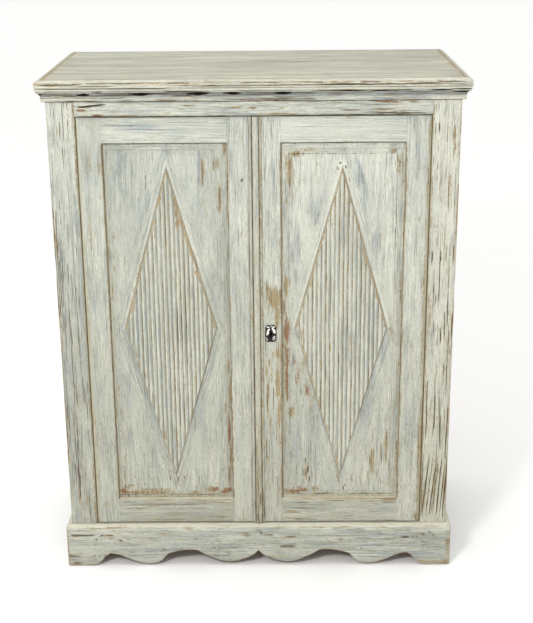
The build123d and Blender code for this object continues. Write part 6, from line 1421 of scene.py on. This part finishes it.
    # painted highlight: the upward-facing bevel at the foot of the panel is painted much lighter
    ledge = np.exp(-((z - 179.6) / 3.2) ** 2)
    tone = np.maximum(tone, (1.15 if s < 0 else 2.5) * ledge - 0.4)
    wear = np.maximum(wear, (0.60 if s < 0 else 0.42) * ledge * (q < 0.5) * (0.5 + 0.8 * fb(x / 60.0, z * 0 + 0.4, sd + 44)))
    turn = z > 1041.0
    pd = np.where(turn[:, None], np.stack([z, y, x], -1) * MM + sd * 0.41, pd)
    dw = np.where(turn, 1.0, dw)
    tone = tone + 0.9 * lip + 1.3 * left_edge + 1.4 * spots(x, z, [(197, 1006, 7, 8, 1.0)])
    # painted shadow: a blue-grey band outside the lozenge's lower edges
    cool = (0.22 * ss(-190, -250, x) * ss(250, 420, z) * ss(760, 600, z) if s < 0 else 0) - 0.8 * lip + spots(x, z, SMEAR) + 0.60 * np.exp(-(np.maximum(dist, 0) / 10.0) ** 2) * (z < LOZ_Z)
    pc = np.stack([x, y, z], -1) * MM + np.array([sd * 0.11, 0.3, sd * 0.17])
    C = V2[F].mean(1)
    fm = (C[:, 1] > -219.4).astype(int)
    build(f"{side}_panel_face", V2, F.tolist(), body, [f"{side}_door_panel"],
          {"pc": pc, "pd": pd, "dw": dw, "wear": wear, "dirt_and_shade": dirt_and_shade, "tone": tone, "cool": cool * (1 - ledge) - 1.0 * left_edge, "warm": np.maximum(np.maximum(0.85 * ledge, by_height(V2)), 1.1 * left_edge),
           "grime": grime_at(V2) + 0.5 * np.exp(-((z - 200) / 26.0) ** 2), "red": spots(x, z, RED) - 0.35},
          [PAINT_PANEL, PINE], fm)

    # reeded lozenge
    cols = []
    per = 8
    p = 2 * LOZ_HW / REEDS
    for i in range(REEDS):
        for j in range(per):
            cols.append(-LOZ_HW + (i + j / per) * p)
    cols.append(LOZ_HW)
    cx = np.array(cols)
    cx[0], cx[-1] = -LOZ_HW + 0.4, LOZ_HW - 0.4
    nv = 150
    tt = np.linspace(-1, 1, nv)
    tt = np.sign(tt) * (1 - (1 - np.abs(tt)) ** 1.6)                # denser near the ends
    Lh = LOZ_HH * (1 - np.abs(cx) / LOZ_HW)
    Xg = np.repeat(cx[:, None], nv, 1)
    Zg = Lh[:, None] * tt[None]
    # slight waver of the reeds
    wav = 0.5 * (fb(Zg / 90.0, Xg / 30.0, sd + 30) - 0.5)
    ph = ((Xg + wav + LOZ_HW) / p) % 1.0
    reed = np.sqrt(np.maximum(0, 1 - (2 * ph - 1) ** 2 * 0.93))      # rounded crest, tight groove
    hgt = 1.5 + 3.0 * reed                                           # above the panel field
    h_mean = 4.2
    dist = (LOZ_HW * LOZ_HH - np.abs(Xg) * LOZ_HH - np.abs(Zg) * LOZ_HW) / math.hypot(LOZ_HW, LOZ_HH)
    swell = ss(0.45, 0.80, fb(Zg / 26.0, Xg / 60.0, sd + 32))
    bev_w = np.where(Zg > 0, 3.4 + 6.5 * swell, 2.2 + 5.0 * swell * (Xg < 0))
    bevel = 1.0 + 3.8 * np.clip(dist / bev_w, 0, 1.2)
    top = np.minimum(hgt, bevel)
    top = top - 0.15 * ss(0.6, 0.9, vn((Xg) / 1.3, Zg / 90.0, sd + 34))
    nx_, nz_ = Xg.shape
    idx = np.arange(nx_ * nz_).reshape(nx_, nz_)
    front = np.stack([s * LOZ_X + Xg, FIELD_Y - top, LOZ_Z + Zg], -1).reshape(-1, 3)
    backv = np.stack([s * LOZ_X + Xg, np.full_like(Xg, FIELD_Y + 1.2), LOZ_Z + Zg], -1).reshape(-1, 3)
    nF = len(front)
    q1 = np.stack([idx[:-1, :-1], idx[1:, :-1], idx[1:, 1:], idx[:-1, 1:]], -1).reshape(-1, 4)
    # only the rim of the back is needed: close with a ring of walls and one coarse back
    rim = np.concatenate([idx[:, 0], idx[-1, 1:], idx[::-1, -1][1:], idx[0, ::-1][1:-1]])
    m = len(rim)
    rimback = nF + np.arange(m)
    V = np.vstack([front, backv[rim]])
    walls = np.stack([rim, rimback, np.roll(rimback, -1), np.roll(rim, -1)], -1)
    F = q1.tolist() + walls.tolist() + [rimback.tolist()]
    Xf = np.concatenate([Xg.reshape(-1), Xg.reshape(-1)[rim]])
    Zf = np.concatenate([Zg.reshape(-1), Zg.reshape(-1)[rim]])
    df = np.concatenate([dist.reshape(-1), dist.reshape(-1)[rim]])
    bw = np.concatenate([bev_w.reshape(-1), bev_w.reshape(-1)[rim]])
    phf = np.concatenate([ph.reshape(-1), ph.reshape(-1)[rim]])
    cut = ss(1.15, 0.75, df / bw)
    upper = (Zf > 0)
    amount = fb(Zf / 55.0, Xf / 22.0, sd + 36)
    wear = cut * np.where(upper, 0.62 + 0.42 * amount, 0.16 + 0.62 * amount)
    groove = np.exp(-(np.minimum(phf, 1 - phf) / 0.12) ** 2)
    rightside = np.exp(-((phf - 0.90) / 0.11) ** 2)
    wear = np.maximum(wear, rightside * (0.22 + 0.62 * fb(Zf / 120.0, Xf / 9.0, sd + 38)))
    wear = np.maximum(wear, groove * (0.30 + 0.55 * fb(Zf / 150.0, Xf / 9.0, sd + 41)))
    dirt_and_shade = groove * (0.14 + 0.50 * ss(0.3, 0.7, fb(Zf / 90.0, Xf / 8.0, sd + 39))) * (1 - 0.6 * cut)
    # painted light and shade: each reed's left flank is painted lighter and warmer, its right flank darker
    tone = 0.60 * np.sin(phf * 2 * math.pi) + 1.25 * (fb(Xf / 10.5, Zf / 300.0, sd + 40) - 0.44) - (0.26 if s < 0 else 0.04)
    warm = 0.55 * np.clip(np.sin(phf * 2 * math.pi), 0, 1)
    fresh = np.clip(cut * 1.2, 0, 1) + 0.45 * (1 - cut)
    blotch = spots(Xf + s * LOZ_X, Zf + LOZ_Z, LOZ_BARE)
    wear = np.maximum(wear, blotch)
    pc = np.stack([V[:, 0], V[:, 1], V[:, 2]], -1) * MM + np.array([sd * 0.21, 0.6, sd * 0.13])
    build(f"{side}_lozenge_reeds", V, F, body, [f"{side}_door_lozenge"],
          {"pc": pc, "wear": wear, "dirt_and_shade": dirt_and_shade, "tone": tone, "warm": warm, "fresh": fresh, "grime": 0.3 + 0 * warm}, [PAINT, PINE], None, sharp=50.0)


# ------------------------------------------------------------------ bead and astragal at the meeting edges
def bead_loop(a, b, y0, p, n=9):
    xs_ = np.linspace(a, b, n)
    return [(x_, y0 - p * math.sqrt(max(0, 1 - ((x_ - (a + b) / 2) / ((b - a) / 2)) ** 2))) for x_ in xs_]


def bead_rough(seed):
    def fn(P, Z, C):
        return 0.1 + 0.35 * fb(Z / 26.0, P[..., 0] / 5.0, seed), 0.0
    return fn


def bead_dirt(lines, strength=0.6):
    def fn(V):
        out = np.zeros(len(V))
        for lx in lines:
            out = np.maximum(out, strength * np.exp(-((V[:, 0] - lx) / 1.1) ** 2) * (0.5 + 0.8 * fb(V[:, 2] / 26.0, V[:, 0] * 0 + lx, 7)))
        return out
    return fn


def dotted(V, x0, q, seed, z_hi=1115):
    """A quirk line broken into dots where paint flaked off the bead."""
    return q * np.exp(-((V[:, 0] - x0) / 0.9) ** 2) * ss(0.34, 0.62, vn(V[:, 2] / 3.4, V[:, 2] * 0 + x0, seed)) * (V[:, 2] < z_hi)


def left_bead_dirt(V):
    base = 0.22 + 0.22 * fb(V[:, 2] / 40.0, V[:, 0] / 6.0, 301)
    out = base + 0 * V[:, 0]
    for lx, q_ in ((-13.0, 0.85), (-5.5, 0.20)):
        out = np.maximum(out, q_ * np.exp(-((V[:, 0] - lx) / 1.4) ** 2))
    return out


def astragal_dirt(V):
    out = np.zeros(len(V))
    for lx in (10.5, 17.5):
        out = np.maximum(out, dotted(V, lx, 0.95, 303))
        out = np.maximum(out, 0.50 * np.exp(-((V[:, 0] - lx) / 1.0) ** 2) * (0.4 + 0.8 * fb(V[:, 2] / 26.0, V[:, 0] * 0 + lx, 7)))
    low = np.interp(V[:, 2], [114, 330, 560, 700], [0.42, 0.36, 0.16, 0.0])
    out = np.maximum(out, low * (0.5 + 0.9 * fb(V[:, 2] / 34.0, V[:, 0] / 5.0, 305)))
    return out


def astragal_wear(V):
    w = front_wear(RUB_DOORS)(V)
    bead = np.exp(-((V[:, 0] - 14.0) / 2.6) ** 2)
    w = np.maximum(w, bead * (0.42 + 0.55 * fb(V[:, 2] / 70.0, V[:, 0] * 0 + 0.3, 307)))
    for lx in (-4.5, 10.5, 17.5):
        w = np.maximum(w, 0.85 * np.exp(-((V[:, 0] - lx) / 1.5) ** 2) * (0.35 + 0.75 * fb(V[:, 2] / 46.0, V[:, 0] * 0 + lx, 313)))
    low = np.interp(V[:, 2], [114, 330, 620, 760], [0.46, 0.42, 0.26, 0.0])
    return np.maximum(w, low * (0.4 + 1.1 * fb(V[:, 2] / 60.0, V[:, 0] / 7.0, 309)))


loop = bead_loop(-13, -5.0, DOOR_Y0, 3.5) + [(-5.0, DOOR_Y0 + 0.4), (-13, DOOR_Y0 + 0.4)]
stick("left_bead_run", loop, DOOR_Z0, DOOR_Z1, "z", "left_door", ["left_door_bead"], 201, across=1.6, rough_fn=bead_rough(201),
      wear_fn=lambda V: np.maximum(front_wear(RUB_DOORS)(V), 0.80 * np.exp(-((V[:, 0] + 5.8) / 1.3) ** 2) * (0.40 + 0.75 * fb(V[:, 2] / 50.0, V[:, 0] * 0 + 0.6, 311))),
      dirt_and_shade_fn=left_bead_dirt, edges=0.2, end_r=0.4, more_fn=lambda V: {"warm": 0.35 + 0.2 * by_height(V), "fresh": 0.5 + 0 * V[:, 0]})
ast = [(-4.5, DOOR_Y0 + 0.4), (-4.5, DOOR_Y0 - 2.0)] + [(-4.5 + 15.0 * (0.5 - 0.5 * math.cos(a)), DOOR_Y0 - 2.0 - 7.0 * math.sin(a)) for a in np.linspace(0.12, math.pi - 0.12, 13)] + [(10.5, DOOR_Y0 - 2.0), (10.5, DOOR_Y0 - 0.5)]
ast += [p_ for p_ in bead_loop(10.5, 17.5, DOOR_Y0 - 0.2, 3.3)[1:]] + [(17.5, DOOR_Y0 + 0.4)]
stick("right_astragal_run", ast, DOOR_Z0, DOOR_Z1, "z", "right_door", ["right_door_astragal"], 207, across=1.5, step=3.4,
      rough_fn=bead_rough(207), wear_fn=astragal_wear, dirt_and_shade_fn=astragal_dirt, edges=0.2, end_r=0.5,
      more_fn=lambda V: {"warm": 0.30 + by_height(V), "fresh": 0.35 + 0 * V[:, 0]})


# ------------------------------------------------------------------ keyhole plate: blacked, pierced, with rubbed scrolls
KX, KZ = 34.5, 606.0


def keyhole_loop(n=20, r=3.6, w=1.6, drop=11.0):
    a0 = math.asin(w / r)
    pts = [(KX + r * math.sin(a), KZ + r * math.cos(a)) for a in np.linspace(math.pi - a0, -math.pi + a0, n)]
    pts += [(KX - w, KZ - drop), (KX + w, KZ - drop)]
    return np.array(pts)


def plate_outline(n):
    """Waisted plate with lobed ends, inside 27 by 42.5 mm."""
    out = []
    for i in range(n):
        a = 2 * math.pi * i / n
        c, s_ = math.cos(a), math.sin(a)
        rx, ry = 13.5, 21.25
        m = max(abs(c) / rx, abs(s_) / ry)
        x_, z_ = c / m, s_ / m
        # soft corners and a shallow lobe on each side
        k = 1 - 0.030 * (1 + math.cos(4 * a + math.pi)) - 0.018 * (1 + math.cos(12 * a))
        out.append((KX + x_ * k, KZ + z_ * k))
    return np.array(out)


n_o = 96
outer = plate_outline(n_o)
kh = subdivide(keyhole_loop(), 1.2)
# match the hole to the outline point by angle
ang_o = np.arctan2(outer[:, 1] - KZ, outer[:, 0] - KX)
ang_h = np.arctan2(kh[:, 1] - (KZ - 3.0), kh[:, 0] - KX)
hole = []
for a in np.arctan2(outer[:, 1] - (KZ - 3.0), outer[:, 0] - KX):
    dd = np.abs((ang_h - a + math.pi) % (2 * math.pi) - math.pi)
    hole.append(kh[np.argmin(dd)])
hole = np.array(hole)
rings = []
for f_, y_ in ((0.0, -235.5), (0.0, -236.6), (0.035, -237.05), (0.5, -237.1), (0.93, -237.1), (1.0, -236.9), (1.0, -235.5)):
    xz = outer * (1 - f_) + hole * f_
    rings.append(np.stack([xz[:, 0], np.full(n_o, y_), xz[:, 1]], -1))
S = np.array(rings)
sN, kN = S.shape[:2]
i, j = np.meshgrid(np.arange(sN), np.arange(kN), indexing="ij")
i2, j2 = (i + 1) % sN, (j + 1) % kN
F = np.stack([i * kN + j, i * kN + j2, i2 * kN + j2, i2 * kN + j], -1).reshape(-1, 4)
plate = build("keyhole_plate", S.reshape(-1, 3), F.tolist(), "right_door", ["escutcheon"],
              {"tone": np.zeros(sN * kN)}, [BLACKED], None, sharp=30.0)
bm = bmesh.new(); bm.from_mesh(plate.data)
bmesh.ops.remove_doubles(bm, verts=bm.verts, dist=2e-6)
bmesh.ops.dissolve_degenerate(bm, dist=1e-6, edges=bm.edges)
bmesh.ops.recalc_face_normals(bm, faces=bm.faces)
bm.to_mesh(plate.data); bm.free()


def scroll(name, pts, r0, r1, y=-237.3):
    """Raised scroll: a tapered round bead along a smooth curve on the plate."""
    c = catmull(pts, 6)
    n = len(c)
    ring = 8
    rows = []
    for q in range(n):
        t_ = c[min(q + 1, n - 1)] - c[max(q - 1, 0)]
        t_ = t_ / np.linalg.norm(t_)
        nn = np.array([-t_[1], t_[0]])
        w = q / (n - 1)
        r = (r0 + (r1 - r0) * w) * (0.35 + 0.65 * math.sin(math.pi * min(1, 0.12 + 0.86 * w)))
        r = max(r, 0.22)
        row = []
        for e in range(ring):
            a = 2 * math.pi * e / ring
            row.append((KX + c[q][0] + nn[0] * r * math.cos(a), y + 0.2 - 0.55 * r * math.sin(a), KZ + c[q][1] + nn[1] * r * math.cos(a)))
        rows.append(row)
    V_, F_ = tube(np.array(rows))
    return V_, F_


def join(parts):
    Vs, Fs, o_ = [], [], 0
    for V_, F_ in parts:
        Vs.append(V_); Fs += [[q + o_ for q in f] for f in F_]
        o_ += len(V_)
    return np.vstack(Vs), Fs


LEAVES = [
    ([(-2.6, 11.6), (-5.6, 8.6), (-7.6, 4.4), (-8.8, -0.6), (-9.4, -4.6)], 2.6, 1.5), ([(-4.4, 4.0), (-5.8, 0.6), (-8.0, -3.4)], 1.5, 0.9),
    ([(2.4, 12.4), (5.6, 11.0), (8.4, 7.6), (9.8, 3.4), (9.6, 0.4)], 2.6, 1.7), ([(4.8, 7.4), (6.8, 3.6), (8.6, 0.8)], 1.3, 0.9),
    ([(-9.6, 17.4), (-6.4, 15.6), (-3.0, 16.6)], 1.5, 1.3), ([(3.2, 17.4), (6.4, 15.8), (9.4, 17.2)], 1.5, 1.4),
    ([(9.8, -6.0), (6.8, -9.0), (3.6, -12.2)], 1.2, 1.1), ([(10.4, -11.0), (7.8, -14.0), (4.4, -16.6)], 1.1, 0.9),
    ([(-10.2, -9.4), (-9.8, -13.4), (-6.6, -17.2)], 0.9, 0.8), ([(-0.8, 19.2), (1.4, 17.6), (0.6, 14.8)], 0.8, 0.7),
]
parts = [scroll("leaf", pts_, ra_, rb_) for pts_, ra_, rb_ in LEAVES]
V, F = join(parts)
build("keyhole_plate_scrolls", V, F, "right_door", [], {"tone": np.zeros(len(V))}, [SILVER], None, sharp=60.0)

# ------------------------------------------------------------------ carried-over nodes get their finish
FINISH = {
    "corner_blocks": PINE_Z, "floor_board": PINE_X, "floor_cleats": PINE_Y, "shelf_cleats": PINE_Y, "shelf_lower": PINE_X,
    "shelf_upper": PINE_X, "top_stretcher_front": PINE_X, "top_stretcher_rear": PINE_X, "door_stop_strip": PINE_X,
    "back_board_1": PINE_BACK, "back_board_2": PINE_BACK, "back_board_3": PINE_BACK, "back_board_4": PINE_BACK,
    "pivot_washers": STEEL, "pivot_pins": STEEL, "left_door_pivot_sockets": BRASS, "right_door_pivot_sockets": BRASS,
    "lock_spring": BRASS, "lock_case": IRON, "lock_bolt": STEEL, "lock_screws": IRON, "strike_plate": IRON,
    "upper_bolt_guide": IRON, "lower_bolt_guide": IRON, "upper_bolt_rod": IRON, "lower_bolt_rod": IRON,
    "left_door_screws": IRON, "back_nails": IRON, "cleat_screws": IRON, "top_screws": IRON, "moulding_pins": IRON,
    "escutcheon_pins": STEEL,
}
for node, mat in FINISH.items():
    ob = N[node]
    ob.data.materials.clear()
    ob.data.materials.append(mat)

# ------------------------------------------------------------------ stage, light, camera
def flat_plane(name, size, z):
    me = bpy.data.meshes.new(name)
    me.from_pydata([(-size, -size, z), (size, -size, z), (size, size, z), (-size, size, z)], [], [(0, 1, 2, 3)])
    ob = bpy.data.objects.new(name, me)
    scene.collection.objects.link(ob)
    return ob


floor = flat_plane("floor", 30.0, 0.0)
fm_ = new_mat("pale_floor")
t = Nt(fm_)
b = t.add("ShaderNodeBsdfPrincipled")
b.inputs["Base Color"].default_value = (0.93, 0.93, 0.925, 1)
b.inputs["Roughness"].default_value = 0.9
o = t.add("ShaderNodeOutputMaterial")
t.put(o.inputs[0], b.outputs[0])
floor.data.materials.append(fm_)

world = bpy.data.worlds.new("soft_room")
scene.world = world
world.use_nodes = True
bg = world.node_tree.nodes["Background"]
bg.inputs[0].default_value = (1.0, 0.997, 0.99, 1)
bg.inputs[1].default_value = 0.78
scene.view_settings.view_transform = "Standard"


def area(name, loc, target, size, power, colour=(1, 1, 1)):
    li = bpy.data.lights.new(name, "AREA")
    li.shape = "RECTANGLE"
    li.size, li.size_y = size
    li.energy = power
    li.color = colour
    ob = bpy.data.objects.new(name, li)
    scene.collection.objects.link(ob)
    ob.location = loc
    d_ = Vector(target) - Vector(loc)
    ob.rotation_mode = "QUATERNION"
    ob.rotation_quaternion = d_.to_track_quat("-Z", "Y")
    return ob


area("key", (-1.05, -2.75, 2.30), (0.05, -0.2, 0.85), (0.5, 0.5), 54, (1.0, 0.99, 0.965))
sun = bpy.data.lights.new("overhead", "SUN")
sun.energy = 0.9
sun.angle = math.radians(50)
sun_o = bpy.data.objects.new("overhead", sun)
scene.collection.objects.link(sun_o)
sun_o.location = (0, 0, 4)

cam_d = bpy.data.cameras.new("camera")
cam = bpy.data.objects.new("camera", cam_d)
scene.collection.objects.link(cam)
yaw, pitch, roll = math.radians(-0.588), math.radians(18.621), math.radians(-0.515)
fwd = Vector((math.sin(yaw) * math.cos(pitch), math.cos(yaw) * math.cos(pitch), -math.sin(pitch)))
r0 = Vector((math.cos(yaw), -math.sin(yaw), 0.0))
u0 = r0.cross(fwd)
right = math.cos(roll) * r0 + math.sin(roll) * u0
up = -math.sin(roll) * r0 + math.cos(roll) * u0
M = Matrix.Identity(4)
for i_ in range(3):
    M[i_][0], M[i_][1], M[i_][2] = right[i_], up[i_], -fwd[i_]
M[0][3], M[1][3], M[2][3] = 0.0532, -3.00616, 1.59398
cam.matrix_world = M
cam_d.sensor_width = 36.0
cam_d.lens = 72.60
scene.camera = cam

bpy.context.view_layer.update()
